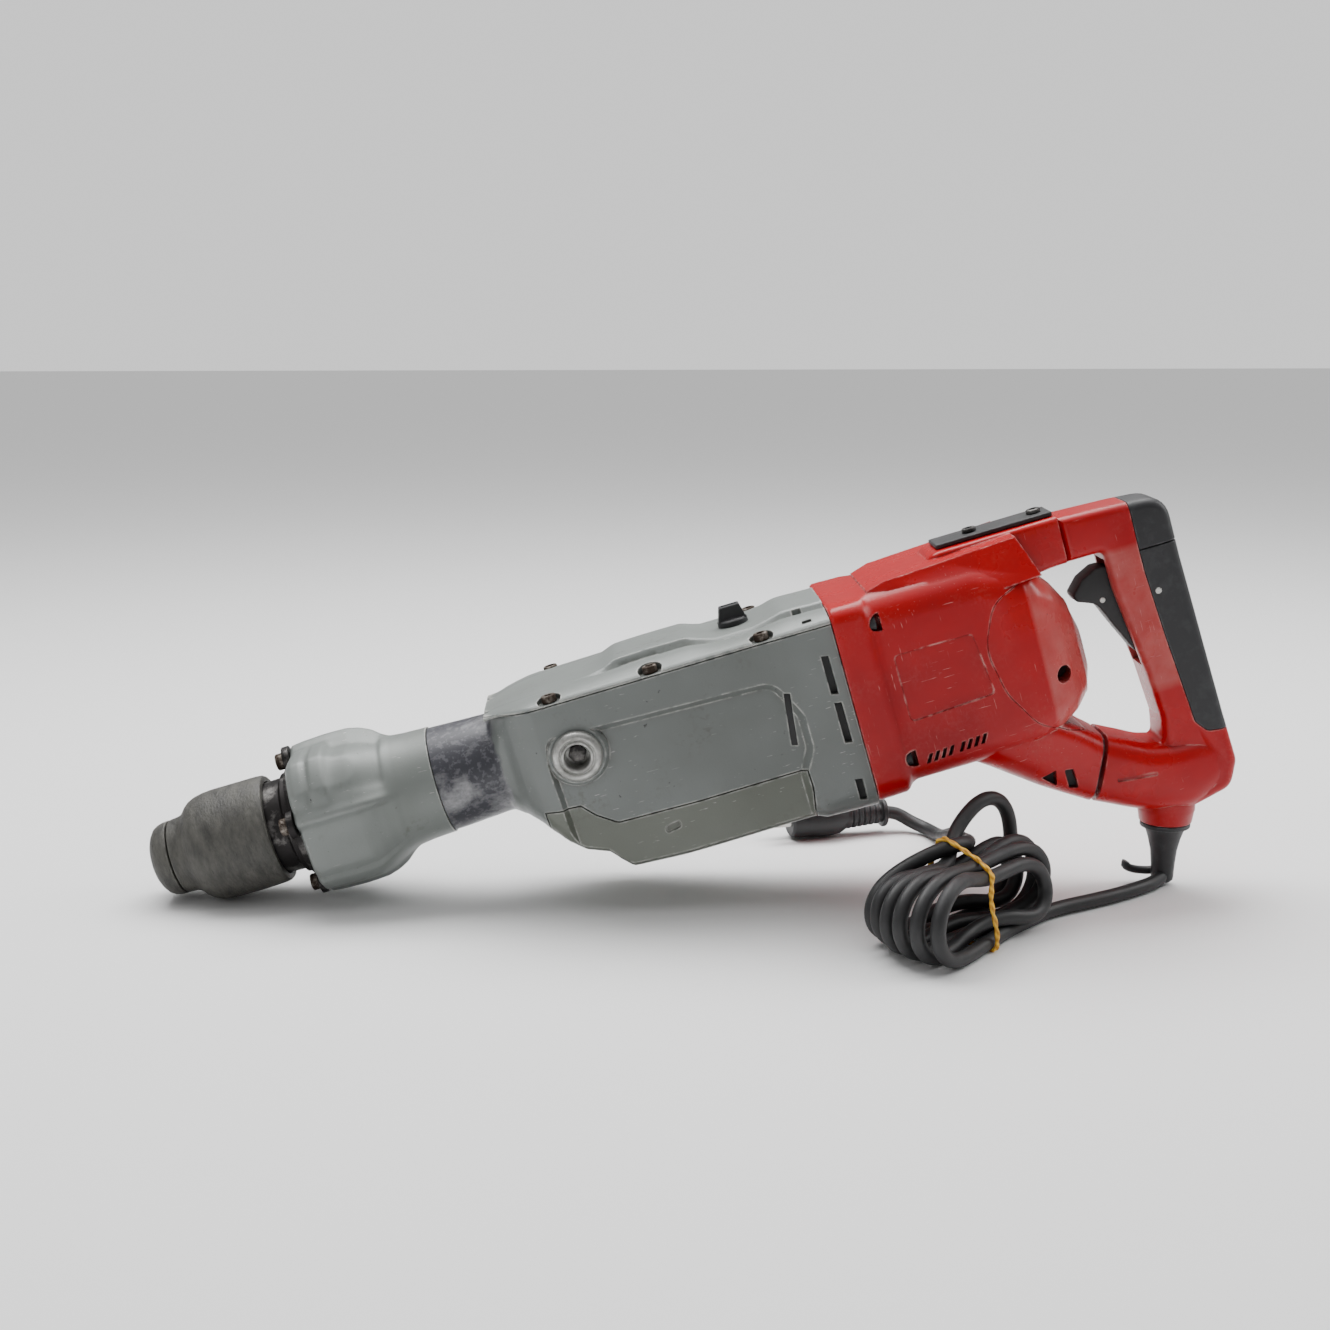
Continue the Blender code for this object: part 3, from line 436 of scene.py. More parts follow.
def station(bottom, top, half_width, top_radius, bottom_radius):
    """A rounded rectangle between two (s, u) points, as (s, y, u) points around it."""
    low, high = Vector(bottom), Vector(top)
    height = (high - low).length
    up = (high - low) / height
    points = []
    for side, level, radius, start in ((1, height, top_radius, 0), (-1, height, top_radius, 90),
                                       (-1, 0, bottom_radius, 180), (1, 0, bottom_radius, 270)):
        radius = min(radius, half_width - 0.01, height / 2 - 0.01)
        centre_v = level - radius if level else radius
        for step in range(CORNER_STEPS + 1):
            angle = math.radians(start + 90 * step / CORNER_STEPS)
            place = low + up * (centre_v + radius * math.sin(angle))
            points.append((place.x, side * (half_width - radius) + radius * math.cos(angle), place.y))
    return points


def between(rows, x):
    """The row of values at x, read smoothly from rows that each start with their own x."""
    xs = [row[0] for row in rows]
    i = max(0, min(len(rows) - 2, sum(1 for known in xs if known <= x) - 1))
    t = (x - xs[i]) / (xs[i + 1] - xs[i])
    t = min(1, max(0, t))
    before, after = rows[max(0, i - 1)], rows[min(len(rows) - 1, i + 2)]
    values = []
    for a, b, c, d in zip(before[1:], rows[i][1:], rows[i + 1][1:], after[1:]):
        start = 0 if (b - a) * (c - b) <= 0 else min(abs(b - a), abs(c - b)) * math.copysign(1, c - b)
        end = 0 if (c - b) * (d - c) <= 0 else min(abs(c - b), abs(d - c)) * math.copysign(1, c - b)
        values.append((2 * t ** 3 - 3 * t ** 2 + 1) * b + (t ** 3 - 2 * t ** 2 + t) * start
                      + (3 * t ** 2 - 2 * t ** 3) * c + (t ** 3 - t ** 2) * end)
    return values


def leaning_loft(knots, steps):
    """A loft through knots of (low point, high point, half width, top radius, bottom radius)."""
    rows = [(i, *low, *high, *rest) for i, (low, high, *rest) in enumerate(knots)]
    rings = []
    for step in range(steps + 1):
        low_s, low_u, high_s, high_u, *rest = between(rows, (len(rows) - 1) * step / steps)
        rings.append(station((low_s, low_u), (high_s, high_u), *rest))
    return rings_joined(rings)


def upright_loft(rows, pitch=3.0):
    """A loft through rows of (s, low, high, half width, top radius, bottom radius)."""
    first, last = rows[0][0], rows[-1][0]
    count = max(2, round((last - first) / pitch))
    even = {first + (last - first) * i / count for i in range(count + 1)}
    places = sorted(even | {row[0] for row in rows})
    rings = []
    for s in places:
        low, high, half_width, top_radius, bottom_radius = between(rows, s)
        rings.append(station((s, low), (s, high), half_width, top_radius, bottom_radius))
    return rings_joined(rings)


def rounded(points, steps=8):
    """Replace each point (s, u, radius) with an arc; points without a radius stay sharp."""
    outline = []
    for i, point in enumerate(points):
        here = Vector(point[:2])
        if len(point) < 3:
            outline.append(here)
            continue
        before = Vector(points[i - 1][:2]) - here
        after = Vector(points[(i + 1) % len(points)][:2]) - here
        reach = min(point[2] / math.tan(before.angle(after) / 2), before.length * 0.49, after.length * 0.49)
        start, end = here + before.normalized() * reach, here + after.normalized() * reach
        for step in range(steps + 1):
            t = step / steps
            outline.append(start * (1 - t) ** 2 + here * 2 * t * (1 - t) + end * t * t)
    return outline


def offset(points, distance):
    """The outline moved sideways, outwards where it runs anticlockwise and distance is positive."""
    result = []
    for i, point in enumerate(points):
        before = (Vector(point[:2]) - Vector(points[i - 1][:2])).normalized()
        after = (Vector(points[(i + 1) % len(points)][:2]) - Vector(point[:2])).normalized()
        first, second = Vector((before.y, -before.x)), Vector((after.y, -after.x))
        moved = Vector(point[:2]) + (first + second) * distance / (1 + first.dot(second))
        result.append((*moved, *point[2:]))
    return result


def slab(points, low_y, high_y, steps=8):
    """The outline in (s, u) as a slab from low_y to high_y."""
    outline = rounded(points, steps)
    return rings_joined([[(s, y, u) for s, u in outline] for y in (low_y, high_y)])


def tapered_slab(points, wide_y, narrow_y, inset):
    """A slab whose face at narrow_y is smaller by inset all round: a recess with sloping walls."""
    outline = rounded(points)
    turn = sum(a.cross(b) for a, b in zip(outline, outline[1:] + outline[:1]))
    small = [Vector(point) for point in offset(outline, -inset if turn > 0 else inset)]
    return rings_joined([[(s, y, u) for s, u in ring] for y, ring in ((wide_y, outline), (narrow_y, small))])


def combined(base, *steps):
    """Join and cut closed bodies: steps are (operation, body) pairs, applied in turn."""
    things = []
    for bm in (base, *(body for _, body in steps)):
        bmesh.ops.recalc_face_normals(bm, faces=bm.faces)
        mesh = bpy.data.meshes.new("scratch")
        bm.to_mesh(mesh)
        bm.free()
        thing = bpy.data.objects.new("scratch", mesh)
        bpy.context.scene.collection.objects.link(thing)
        things.append(thing)
    for (operation, _), cutter in zip(steps, things[1:]):
        modifier = things[0].modifiers.new("cut", "BOOLEAN")
        modifier.operation, modifier.object, modifier.solver = operation, cutter, "EXACT"
    mesh = bpy.data.meshes.new_from_object(things[0].evaluated_get(bpy.context.evaluated_depsgraph_get()))
    bm = bmesh.new()
    bm.from_mesh(mesh)
    bmesh.ops.remove_doubles(bm, verts=bm.verts, dist=0.005)
    bmesh.ops.dissolve_degenerate(bm, edges=bm.edges, dist=0.004)
    for thing in things:
        bpy.data.objects.remove(thing, do_unlink=True)
    bpy.data.meshes.remove(mesh)
    if not bm.faces:
        raise RuntimeError("a cut left nothing of the body")
    return bm


CUT, JOIN, KEEP = "DIFFERENCE", "UNION", "INTERSECT"


def piece(name, bm, look, body="hammer", replaces=(), matrix=TOOL, bevel=0.0, segments=2, slot=None,
          sharp=34):
    """Finish bm, in millimetres, as a piece that rides on body and stands for the CAD nodes in replaces."""
    bmesh.ops.scale(bm, verts=bm.verts, vec=(MM, MM, MM))
    bmesh.ops.transform(bm, matrix=matrix, verts=bm.verts)
    bmesh.ops.recalc_face_normals(bm, faces=bm.faces)
    mesh = bpy.data.meshes.new(name)
    bm.to_mesh(mesh)
    bm.free()
    made = bpy.data.objects.new(name, mesh)
    bpy.context.scene.collection.objects.link(made)
    mesh.materials.append(LOOKS[look])
    mesh.shade_smooth()
    mesh.set_sharp_from_angle(angle=math.radians(sharp))
    if bevel:
        round_edges = made.modifiers.new("round_edges", "BEVEL")
        round_edges.width = bevel * MM
        round_edges.segments = segments
        round_edges.limit_method = "ANGLE"
        round_edges.angle_limit = math.radians(38)
        round_edges.harden_normals = False
    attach(made, body)
    if replaces:
        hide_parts(*replaces)
    slot or SLOT_OF.get(look, look)
    return made


SLOT_OF = {"neck_paint": "grey_paint", "cord_rubber": "black_rubber", "worn_alloy": "bright_steel"}


# ---- Cord: its route, the bundle's turns and the settling of one strand on another ----

CORD_ROUTE = [(286.6, -0.2, 14), (286.4, -0.8, 9.5), (285.4, -2.6, 6.6), (281, -8, 4.9), (272, -16.5, 4.6),
              (258, -27, 4.6), (244, -36, 4.6), (236, -41, 4.6)]
INTO_BUNDLE = [(226, -47, 4.6), (206, -57, 5), (188, -70, 5)]
OUT_OF_BUNDLE = [(146, -84, 47.5), (152, -62, 46), (156, -33, 40.5), (159.5, 4, 32)]
TAIL_ROUTE = [(162, 36, 22), (164.5, 64, 12.5), (165, 86, 6.5), (161, 104, 5), (152, 113, 7.5),
              (143.4, 117.4, 11.6),
              (135.2, 116.7, 13.5)]
TIE_P = -6
HANK_AT, HANK_TURN = (148, -92, 0), math.radians(40)
PLUG_AT, PLUG_TURN = (134.4, 116.5, 13.5), math.radians(12)
HANK = Matrix.Translation(HANK_AT) @ Matrix.Rotation(HANK_TURN, 4, "Z")
PITCH = 4.0


def catmull(points, pitch):
    """Points pitch apart along a smooth curve through points."""
    points = [np.array(point, float) for point in points]
    ends = [points[0], *points, points[-1]]
    t = np.arange(24)[:, None] / 24
    dense = []
    for a, b, c, d in zip(ends, ends[1:], ends[2:], ends[3:]):
        dense.extend(0.5 * (2 * b + (c - a) * t + (2 * a - 5 * b + 4 * c - d) * t ** 2
                            + (3 * b - a - 3 * c + d) * t ** 3))
    return spaced(dense + [points[-1]], pitch)


def spaced(line, pitch):
    """The same line with its points pitch apart."""
    line = np.array(line, float)
    walked = np.concatenate(([0], np.cumsum(np.linalg.norm(np.diff(line, axis=0), axis=1))))
    marks = np.linspace(0, walked[-1], max(2, round(walked[-1] / pitch)) + 1)
    return [Vector(point) for point in np.stack([np.interp(marks, walked, axis) for axis in line.T], 1)]


# One row a turn: q at the floor of the tie, then q, reach and height of the loop in front, q at the top
# of the tie, then q, reach and height of the loop behind.
TURNS = [(-19, -27, -59, 46, -15, -14, 50, 40), (-10, -16, -63, 46, -7, -7, 57, 47),
         (-2, -5, -64, 45, 1, 2, 61, 50),
         (7, 6, -62, 43, 9, 22, 64, 71), (16, 17, -57, 41, 17, 13, 58, 47),
         (24, 28, -50, 38, 13, None, None, None)]
TALL = 60


def bundle_turns():
    """The wound cord: along the floor through the tie, up in a front loop, back on top, round behind."""
    points = []
    for number, (low_q, front_q, front, front_top, high_q, back_q, back, back_top) in enumerate(TURNS):
        low_z, high_z = (10, 43) if number % 2 else (5, 38)
        points += [(TIE_P, low_q, low_z), (front * 0.62, (low_q + 2 * front_q) / 3 - 2, 4.5),
                   (front * 0.95, front_q - 1, 11), (front, front_q, 22),
                   (front * 0.88, front_q + 1, front_top - 7),
                   (front * 0.5, (front_q + high_q) / 2 + 1, front_top + 1), (TIE_P, high_q, high_z)]
        if back is None:
            break
        tall = back_top > TALL
        points += [(back * 0.42, (high_q + back_q) / 2 + 8 * tall, (high_z + back_top) / 2 + 2),
                   (back * (0.78 if tall else 0.88), back_q, back_top - (0 if tall else 4)),
                   (back, back_q - 1, back_top * 0.62), (back * 0.9, back_q - 3, 12),
                   (back * 0.45, (back_q + TURNS[number + 1][0]) / 2 - 3, 5)]
    return [HANK @ Vector(point) for point in points]


def evened(field, times_over):
    """The field with neighbours along the line blended, so that no point moves alone."""
    for _ in range(times_over):
        after = field.copy()
        after[1:-1] = (field[:-2] + 2 * field[1:-1] + field[2:]) / 4
        field = after
    return field


NEAR_ALONG, SLACK = 7, 0.25
PUSH, LARGEST_PUSH, EVEN_OUT, STRAIGHTEN = 0.8, 1.2, 0.45, 0.04


def settle(line, held, rounds=260):
    """Let the strands push apart, straighten a little and rest on the floor, keeping their length."""
    x = np.array([tuple(point) for point in line])
    free = np.ones((len(x), 1))
    free[held] = 0
    rest = np.linalg.norm(np.diff(x, axis=0), axis=1)
    first, second = np.triu_indices(len(x), NEAR_ALONG)
    width = 2 * CORD_RADIUS + SLACK
    for _ in range(rounds):
        gap = x[second] - x[first]
        distance = np.linalg.norm(gap, axis=1)
        near = distance < width
        push = gap[near] / (distance[near, None] + 1e-6) * (width - distance[near, None]) * 0.5
        shift = np.zeros_like(x)
        np.add.at(shift, first[near], -push)
        np.add.at(shift, second[near], push)
        shift = np.clip(evened(shift, 3), -LARGEST_PUSH, LARGEST_PUSH)
        bend, curl = np.zeros_like(x), np.zeros_like(x)
        bend[1:-1] = (x[:-2] + x[2:]) / 2 - x[1:-1]
        curl[1:-1] = (bend[:-2] + bend[2:]) / 2 - bend[1:-1]
        x += free * (shift * PUSH - curl * EVEN_OUT + bend * STRAIGHTEN)
        for _ in range(2):
            step = np.diff(x, axis=0)
            length = np.linalg.norm(step, axis=1)
            fix = evened(step * ((length - rest) / (length + 1e-6))[:, None] * 0.5, 1)
            x[:-1] += fix * free[:-1]
            x[1:] -= fix * free[1:]
        x[:, 2] = np.maximum(x[:, 2], CORD_RADIUS + 0.05)
    return [Vector(point) for point in x], float(np.min(np.linalg.norm(x[second] - x[first], axis=1)))


def round_bar(name, line, radius, look, sides=6, body="handle"):
    """A smooth curve with a round section along line, in millimetres."""
    curve = bpy.data.curves.new(name, "CURVE")
    curve.dimensions = "3D"
    curve.bevel_depth = radius * MM
    curve.bevel_resolution = sides
    curve.use_fill_caps = True
    spline = curve.splines.new("POLY")
    spline.points.add(len(line) - 1)
    for knot, point in zip(spline.points, line):
        knot.co = (*(Vector(point) * MM), 1)
    spline.use_smooth = True
    made = bpy.data.objects.new(name, curve)
    bpy.context.scene.collection.objects.link(made)
    curve.materials.append(LOOKS[look])
    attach(made, body)
    SLOT_OF.get(look, look)
    return made


def build_cord():
    start, tail = catmull(CORD_ROUTE, PITCH), catmull(TAIL_ROUTE, PITCH)
    wound = catmull([start[-1], *INTO_BUNDLE, *bundle_turns(), *OUT_OF_BUNDLE, tail[0]], PITCH)[1:-1]
    line = start + wound + tail
    held = list(range(len(start) - 6)) + list(range(len(line) - len(tail) + 4, len(line)))
    line, closest = settle(line, held)
    line = catmull(line, 2.0)
    cord = round_bar("power_cord", line, CORD_RADIUS, "cord_rubber")
    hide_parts("cord", "cord_hank", "cord_tail")
    length = sum((b - a).length for a, b in zip(line, line[1:])) * MM
    print(f"CORD length {length:.3f} m, closest strands {closest:.2f} mm, points {len(line)}")
    build_tie(line)
    plug = build_plug()
    boot = build_boot()


def build_tie(line):
    """A twisted tie drawn round the strands where they cross the middle of the bundle."""
    local = [HANK.inverted() @ point for point in line]
    crossing = [Vector((p.y, p.z)) for p in local if abs(p.x - TIE_P) < 3 and abs(p.y) < 34 and p.z < 52]
    hull = []
    for step in range(90):
        way = Vector((math.cos(FULL_TURN * step / 90), math.sin(FULL_TURN * step / 90)))
        hull.append(max(crossing, key=way.dot) + way * (CORD_RADIUS + 1.1))
    ring = []
    for across in spaced(hull, 1.6):
        ring.append(HANK @ Vector((TIE_P + 1.5 * math.sin(across.y * 0.16), across.x, max(1.4, across.y))))
    for number, name in enumerate(("bundle_tie", "bundle_tie_strand")):
        strand = []
        for i, point in enumerate(ring):
            angle = i * 0.62 + number * math.pi
            strand.append(point + Vector((0.6 * math.cos(angle), 0.2, 0.6 * math.sin(angle))))
        strand.append(strand[0])
        made = round_bar(name, strand, 0.95, "yellow_tie", 3)
        if number == 0:
            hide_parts("hank_tie")


def build_plug():
    """A moulded two-pin plug with a ribbed relief towards the cord."""
    place = Matrix.Translation(Vector(PLUG_AT) * MM) @ Matrix.Rotation(PLUG_TURN, 4, "Z") @ AXES["s"]
    profile = [(-67, 0), (-67, 10.4), (-66, 11.8), (-63, 12.4), (-48, 13.1), (-40, 13.0), (-33, 11.6),
               (-29, 9.4)]
    for rib in range(6):
        at = -28 + rib * 4
        width = 9 - rib * 0.35
        profile += [(at, width), (at + 2.4, width), (at + 2.7, width - 1.5), (at + 3.7, width - 1.5)]
    profile += [(-3.2, 6.9), (-3.2, 9.2), (-2.6, 9.4), (-0.9, 9.4), (-0.3, 9.0), (-0.3, 0)]
    body = revolve(profile, 48)
    plug = piece("moulded_plug", body, "cord_rubber", "handle", ("plug",), place, 0.3)
    for side, y in SIDES:
        blade = block((-3.2, y * 6.35 - 0.8, -84), (3.2, y * 6.35 + 0.8, -60))
        made = piece("plug_blade_" + side, blade, "bright_steel", "handle", (), place, 0.3)
        made.parent = plug
        made.matrix_world = plug.matrix_world
    return plug


def build_boot():
    """The tapered relief that stands on the floor under the handle, with the hook that parks the cord."""
    profile = [(2.2, 0), (2.2, 5.2), (3.4, 6.4), (5, 6.7), (13, 7.1), (22, 8.0), (29, 9.6), (34, 11.2),
               (36.4, 12.4),
               (37, 14.6), (37.6, 15), (39.4, 15), (39.9, 14.6), (39.9, 0)]
    hook_line = [(SOCKET_X - 2, 5, 7.6), (SOCKET_X - 9, 5.2, 7.2), (SOCKET_X - 17, 5.2, 8.2),
                 (SOCKET_X - 21.5, 5.2, 10.4), (SOCKET_X - 21, 5.2, 13)]
    body = turned(profile, (SOCKET_X, 0, 0), "u", 56)
    hook = loft_along(catmull(hook_line, 1.2), 3.4, 2.4)
    boot = piece("cord_relief", combined(body, (JOIN, hook)), "black_rubber", "handle", ("cord_boot",),
                 ROW, 0.3)
    collar = [(40.2, 0), (40.2, 15.2), (40.8, 15.7), (47.4, 16.8), (48.2, 17.2), (56, 17.2), (56, 0)]
    piece("relief_socket", turned(collar, (SOCKET_X, 0, 0), "u", 64), "red_plastic", "handle",
          ("cord_socket",), ROW,
          0.3)
    return boot


def loft_along(line, half_width, half_height):
    """A flat bar along a line that stays in one (x, z) plane."""
    rings = []
    for i, point in enumerate(line):
        ahead = (line[min(i + 1, len(line) - 1)] - line[max(i - 1, 0)]).normalized()
        up = Vector((-ahead.z, 0, ahead.x))
        ring = []
        for step in range(16):
            angle = FULL_TURN * step / 16
            ring.append(point + Vector((0, half_width * math.cos(angle),
                                        0)) + up * half_height * math.sin(angle))
        rings.append(ring)
    return rings_joined(rings)


# ---- Screws ----

def screw_head(radius, height, socket, shank_radius, length):
    """A socket head with a hexagon recess on a plain shank, standing on Z = 0."""
    def hexagon(along, size, angle):
        if size > socket:
            return size
        return size / math.cos((angle + math.pi / 6) % (math.pi / 3) - math.pi / 6) * 0.9
    profile = [(-length, 0), (-length, shank_radius), (0, shank_radius), (0, radius), (height - 0.5, radius),
               (height, radius - 0.5), (height, socket), (height * 0.45, socket), (height * 0.45, 0)]
    return revolve(profile, 48, hexagon)


def screw(name, at, axis, way, size, look):
    turn = AXES[axis] @ (Matrix.Identity(4) if way > 0 else Matrix.Rotation(math.pi, 4, "X"))
    place = TOOL @ Matrix.Translation(Vector(at) * MM) @ turn
    piece(name + "_head", screw_head(*size), look, "hammer", (name,), place, 0.15)


# ---- Chuck and barrel ----

def build_chuck():
    cap = [(-1, 13.2), (-0.7, 14.6), (0.6, 17.2), (2.8, 20), (5, 21.4), (8, 22.2), (11.2, 22.4),
           (11.5, 22.0),
           (11.5, 15.8), (3.1, 15.8), (3.1, 9.7), (-0.4, 9.7), (-1, 10.3)]
    piece("nose_cap", turned(cap, steps=96, shape=battered(0.25)), "sleeve_rubber", "hammer", ("dust_cap",))
    sleeve = [(12.2, 21.4), (12.7, 22.3), (15, 22.6), (18, 22.9), (20.4, 23.6), (22.6, 25.4), (24.4, 27.6),
              (27, 29.8), (31, 31.6), (36, 32.6), (42, 33), (56, 33.0), (68, 32.9), (72.2, 32.5),
              (73.7, 31.6),
              (74, 30.4), (74, 28.4), (30, 28.4), (30, 16.1), (12.2, 16.1)]
    piece("sleeve_cover", turned(sleeve, steps=96, shape=battered(0.3)), "sleeve_rubber", "locking_sleeve",
          ("locking_sleeve",))
    collar = turned([(64.5, 27.2), (66, 27.6), (83.6, 27.9), (84.6, 29.2), (85.2, 30.2), (88.4, 30.3),
                     (88.6, 32.6),
                     (89.2, 33), (92.7, 33), (92.9, 32.6), (92.9, 15.8), (64.5, 15.8)], steps=96)
    steps = []
    for index in range(4):
        angle = FLANGE_SCREW_TURN + index * math.pi / 2
        place = (0, FLANGE_SCREW_RADIUS * math.sin(angle), FLANGE_SCREW_RADIUS * math.cos(angle))
        steps.append((JOIN, rod(88.8, 3.9, 8, place)))
        screw(f"flange_screw_{index + 1}", (88.3, *place[1:]), "s", -1, (5, 4.6, 2.6, 2.7, 4), "rusty_steel")
    piece("collar_plate", combined(collar, *steps), "dark_steel", "hammer", ("front_collar",), bevel=0.4)


def build_sleeve_spring():
    """The coil behind the sleeve's inner shoulder, modelled at one length; the real coil shortens as the
    sleeve is drawn back.
    """
    turns, steps, first, last, wire = 4.5, 36, 32.6, 62.0, 1.3
    rings = []
    for step in range(int(turns * steps) + 1):
        angle = FULL_TURN * step / steps
        along = first + (last - first) * step / (turns * steps)
        ring = []
        for side in range(10):
            around = FULL_TURN * side / 10
            reach = 21.5 + wire * math.cos(around)
            ring.append((along + wire * math.sin(around), reach * math.cos(angle), reach * math.sin(angle)))
        rings.append(ring)
    spring = piece("coil_spring", rings_joined(rings), "bright_steel", "hammer", ("sleeve_spring",))
    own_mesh(spring)


def battered(depth):
    """A shape for turned(): slow dents round the part, deepest at depth millimetres."""
    def shape(along, radius, angle):
        wave = math.sin(3 * angle + along * 0.11) + math.sin(7 * angle - along * 0.23 + 1) * 0.6
        return radius - depth * 0.5 * (1 + wave / 1.6) * (1 if radius > 20 else 0)
    return shape


# Rows of (s, radius, squareness power).
BARREL = [(93.2, 38.6, 3.6), (95, 40, 3.6), (104, 40.9, 3.6), (118, 41.3, 3.6), (128, 41.0, 3.5),
          (134, 39.8, 3.0),
          (141, 37.4, 2.5), (148, 34.8, 2.15), (153, 33.6, 2.0), (165, 32.6, 2.0), (175.4, 32.2, 2.0)]
BARREL_STEPS, BARREL_PITCH = 208, 1.0
STEP_S = 118.5
# Rows of (s, how far the barrel's centre lies below the bore).
DROP = [(93.2, 0.6), (128, 0.4), (150, 0.0), (176, -0.3)]


def swell(value, low, high, soft):
    """1 between low and high and 0 outside, with soft ends."""
    rise = (math.tanh((value - low) / soft) - math.tanh((value - high) / soft)) / 2
    return max(0.0, rise)


def barrel_reach(s, angle):
    """The barrel's reach: ribs behind the screws, two pads and a groove on top, a step, a round neck."""
    size, power = between(BARREL, s)
    squared = (abs(math.cos(angle)) ** power + abs(math.sin(angle)) ** power) ** (-1 / power)
    reach = size * min(squared, 1.13)
    rib = swell(s, 80, 147, 4)
    for index in range(4):
        away = (angle - FLANGE_SCREW_TURN - index * math.pi / 2 + math.pi) % FULL_TURN - math.pi
        reach += 2.7 * rib * math.exp(-(away / 0.085) ** 2) + 1.2 * rib * math.exp(-(away / 0.2) ** 2)
        if index in (0, 3):
            upper = swell(away, 0.22, 1.34, 0.09)
            pads = swell(s, 96, 104, 0.9) + swell(s, 107.5, STEP_S - 1.5, 0.9)
            reach += upper * (1.3 * pads - 3.0 * swell(s, STEP_S, 147, 2.2))
        else:
            reach -= 1.2 * swell(away, 0.2, 1.37, 0.12) * swell(s, 97, 140, 5)
        under = -away if index == 3 else away
        if index in (1, 3):
            reach -= 2.0 * rib * swell(under, 0.07, 0.95, 0.025)
    return reach


def build_barrel():
    """The cast front housing, as one surface over s and the angle from the u axis."""
    count = round((175.4 - 94) / BARREL_PITCH)
    places = [93.2] + [94 + (175.4 - 94) * i / count for i in range(count + 1)]
    rings = []
    for s in places:
        shrink = 0.8 if s == places[0] else 0
        ring = []
        for i in range(BARREL_STEPS):
            angle = FULL_TURN * i / BARREL_STEPS
            reach = barrel_reach(s, angle) - shrink
            ring.append((s, reach * math.sin(angle), reach * math.cos(angle) - between(DROP, s)[0]))
        rings.append(ring)
    bore = turned([(80, 0), (80, 27.1), (99.4, 27.1), (99.4, 17.3), (150.4, 17.3), (150.4, 25), (190, 25),
                   (190, 0)])
    piece("barrel_casting", combined(rings_joined(rings), (CUT, bore)), "grey_paint", "hammer",
          ("barrel_housing",),
          sharp=50)


# ---- Gearcase and its covers ----

# Rows of (s, low, high, half width, top radius, bottom radius).
CRANKCASE = [(175.8, -31, 31.6, 31.3, 31.2, 31.2), (200, -29.8, 30.8, 30.3, 30.3, 30.3),
             (212, -29, 30.4, 29.8, 29, 29), (219, -30.5, 34.6, 31.8, 16, 20), (226, -34, 36, 38, 6, 16),
             (233, -41, 37, 43, 4, 14), (242, -50, 37, 46.5, 3.5, 13), (249, -56, 37, 47, 3, 13),
             (261, -61, 37, 47, 3, 13), (266, -67, 37, 47, 3, 13), (273, -73.5, 37, 47, 3, 13),
             (311, -75.5, 37, 47, 3, 13), (381, -75, 37, 47, 3, 13), (388, -77.5, 37, 47.6, 3, 13),
             (418.5, -78.5, 37.5, 48, 3, 14)]
LOWER_COVER_EDGE = [(232, -26), (253, -27.5), (260, -35.3, 6), (271, -43.2, 6), (319, -44.5), (384, -44),
                    (384.5, -55), (382.5, -68), (382.5, -100), (200, -100), (200, -60), (232, -40)]
SIDE_PANEL = [(243, 18, 10), (379.5, 13, 16), (391.5, -12, 14), (391.5, -33, 16), (384.4, -47, 12),
              (384.4, -110),
              (243, -110), (240, 0, 12)]
PANEL_Y, BAND_Y = 43.2, 48.6
SEAM_GAP = 0.7


def panel_cutters():
    for _, way in SIDES:
        yield CUT, tapered_slab(SIDE_PANEL, way * BAND_Y, way * PANEL_Y, 5)


def slot_with_shadow_plate(name, points, way, face, depth=5, look="carbon"):
    """A cutter for a slot in a side wall, and a dark plate at the bottom of it that paints the shadow inside
    the slot.
    """
    inner, outer = sorted((way * (face - depth), way * (face + 6)))
    back_low, back_high = sorted((way * (face - depth + 0.6), way * (face - depth - 1)))
    piece(name, slab(offset(points, 0.6) if area(points) > 0 else offset(points, -0.6), back_low,
                     back_high), look)
    return CUT, slab(points, inner, outer)


def area(points):
    """Twice the signed area of an outline: positive where it runs anticlockwise."""
    return sum(a[0] * b[1] - a[1] * b[0] for a, b in zip(points, points[1:] + points[:1]))


# Rows of (s, top, bottom) of the slots in the ring next to the red housing.
RING_VENTS = [(408.2, 18, -5), (408.5, -10.2, -34.6), (408.2, -57, -70)]


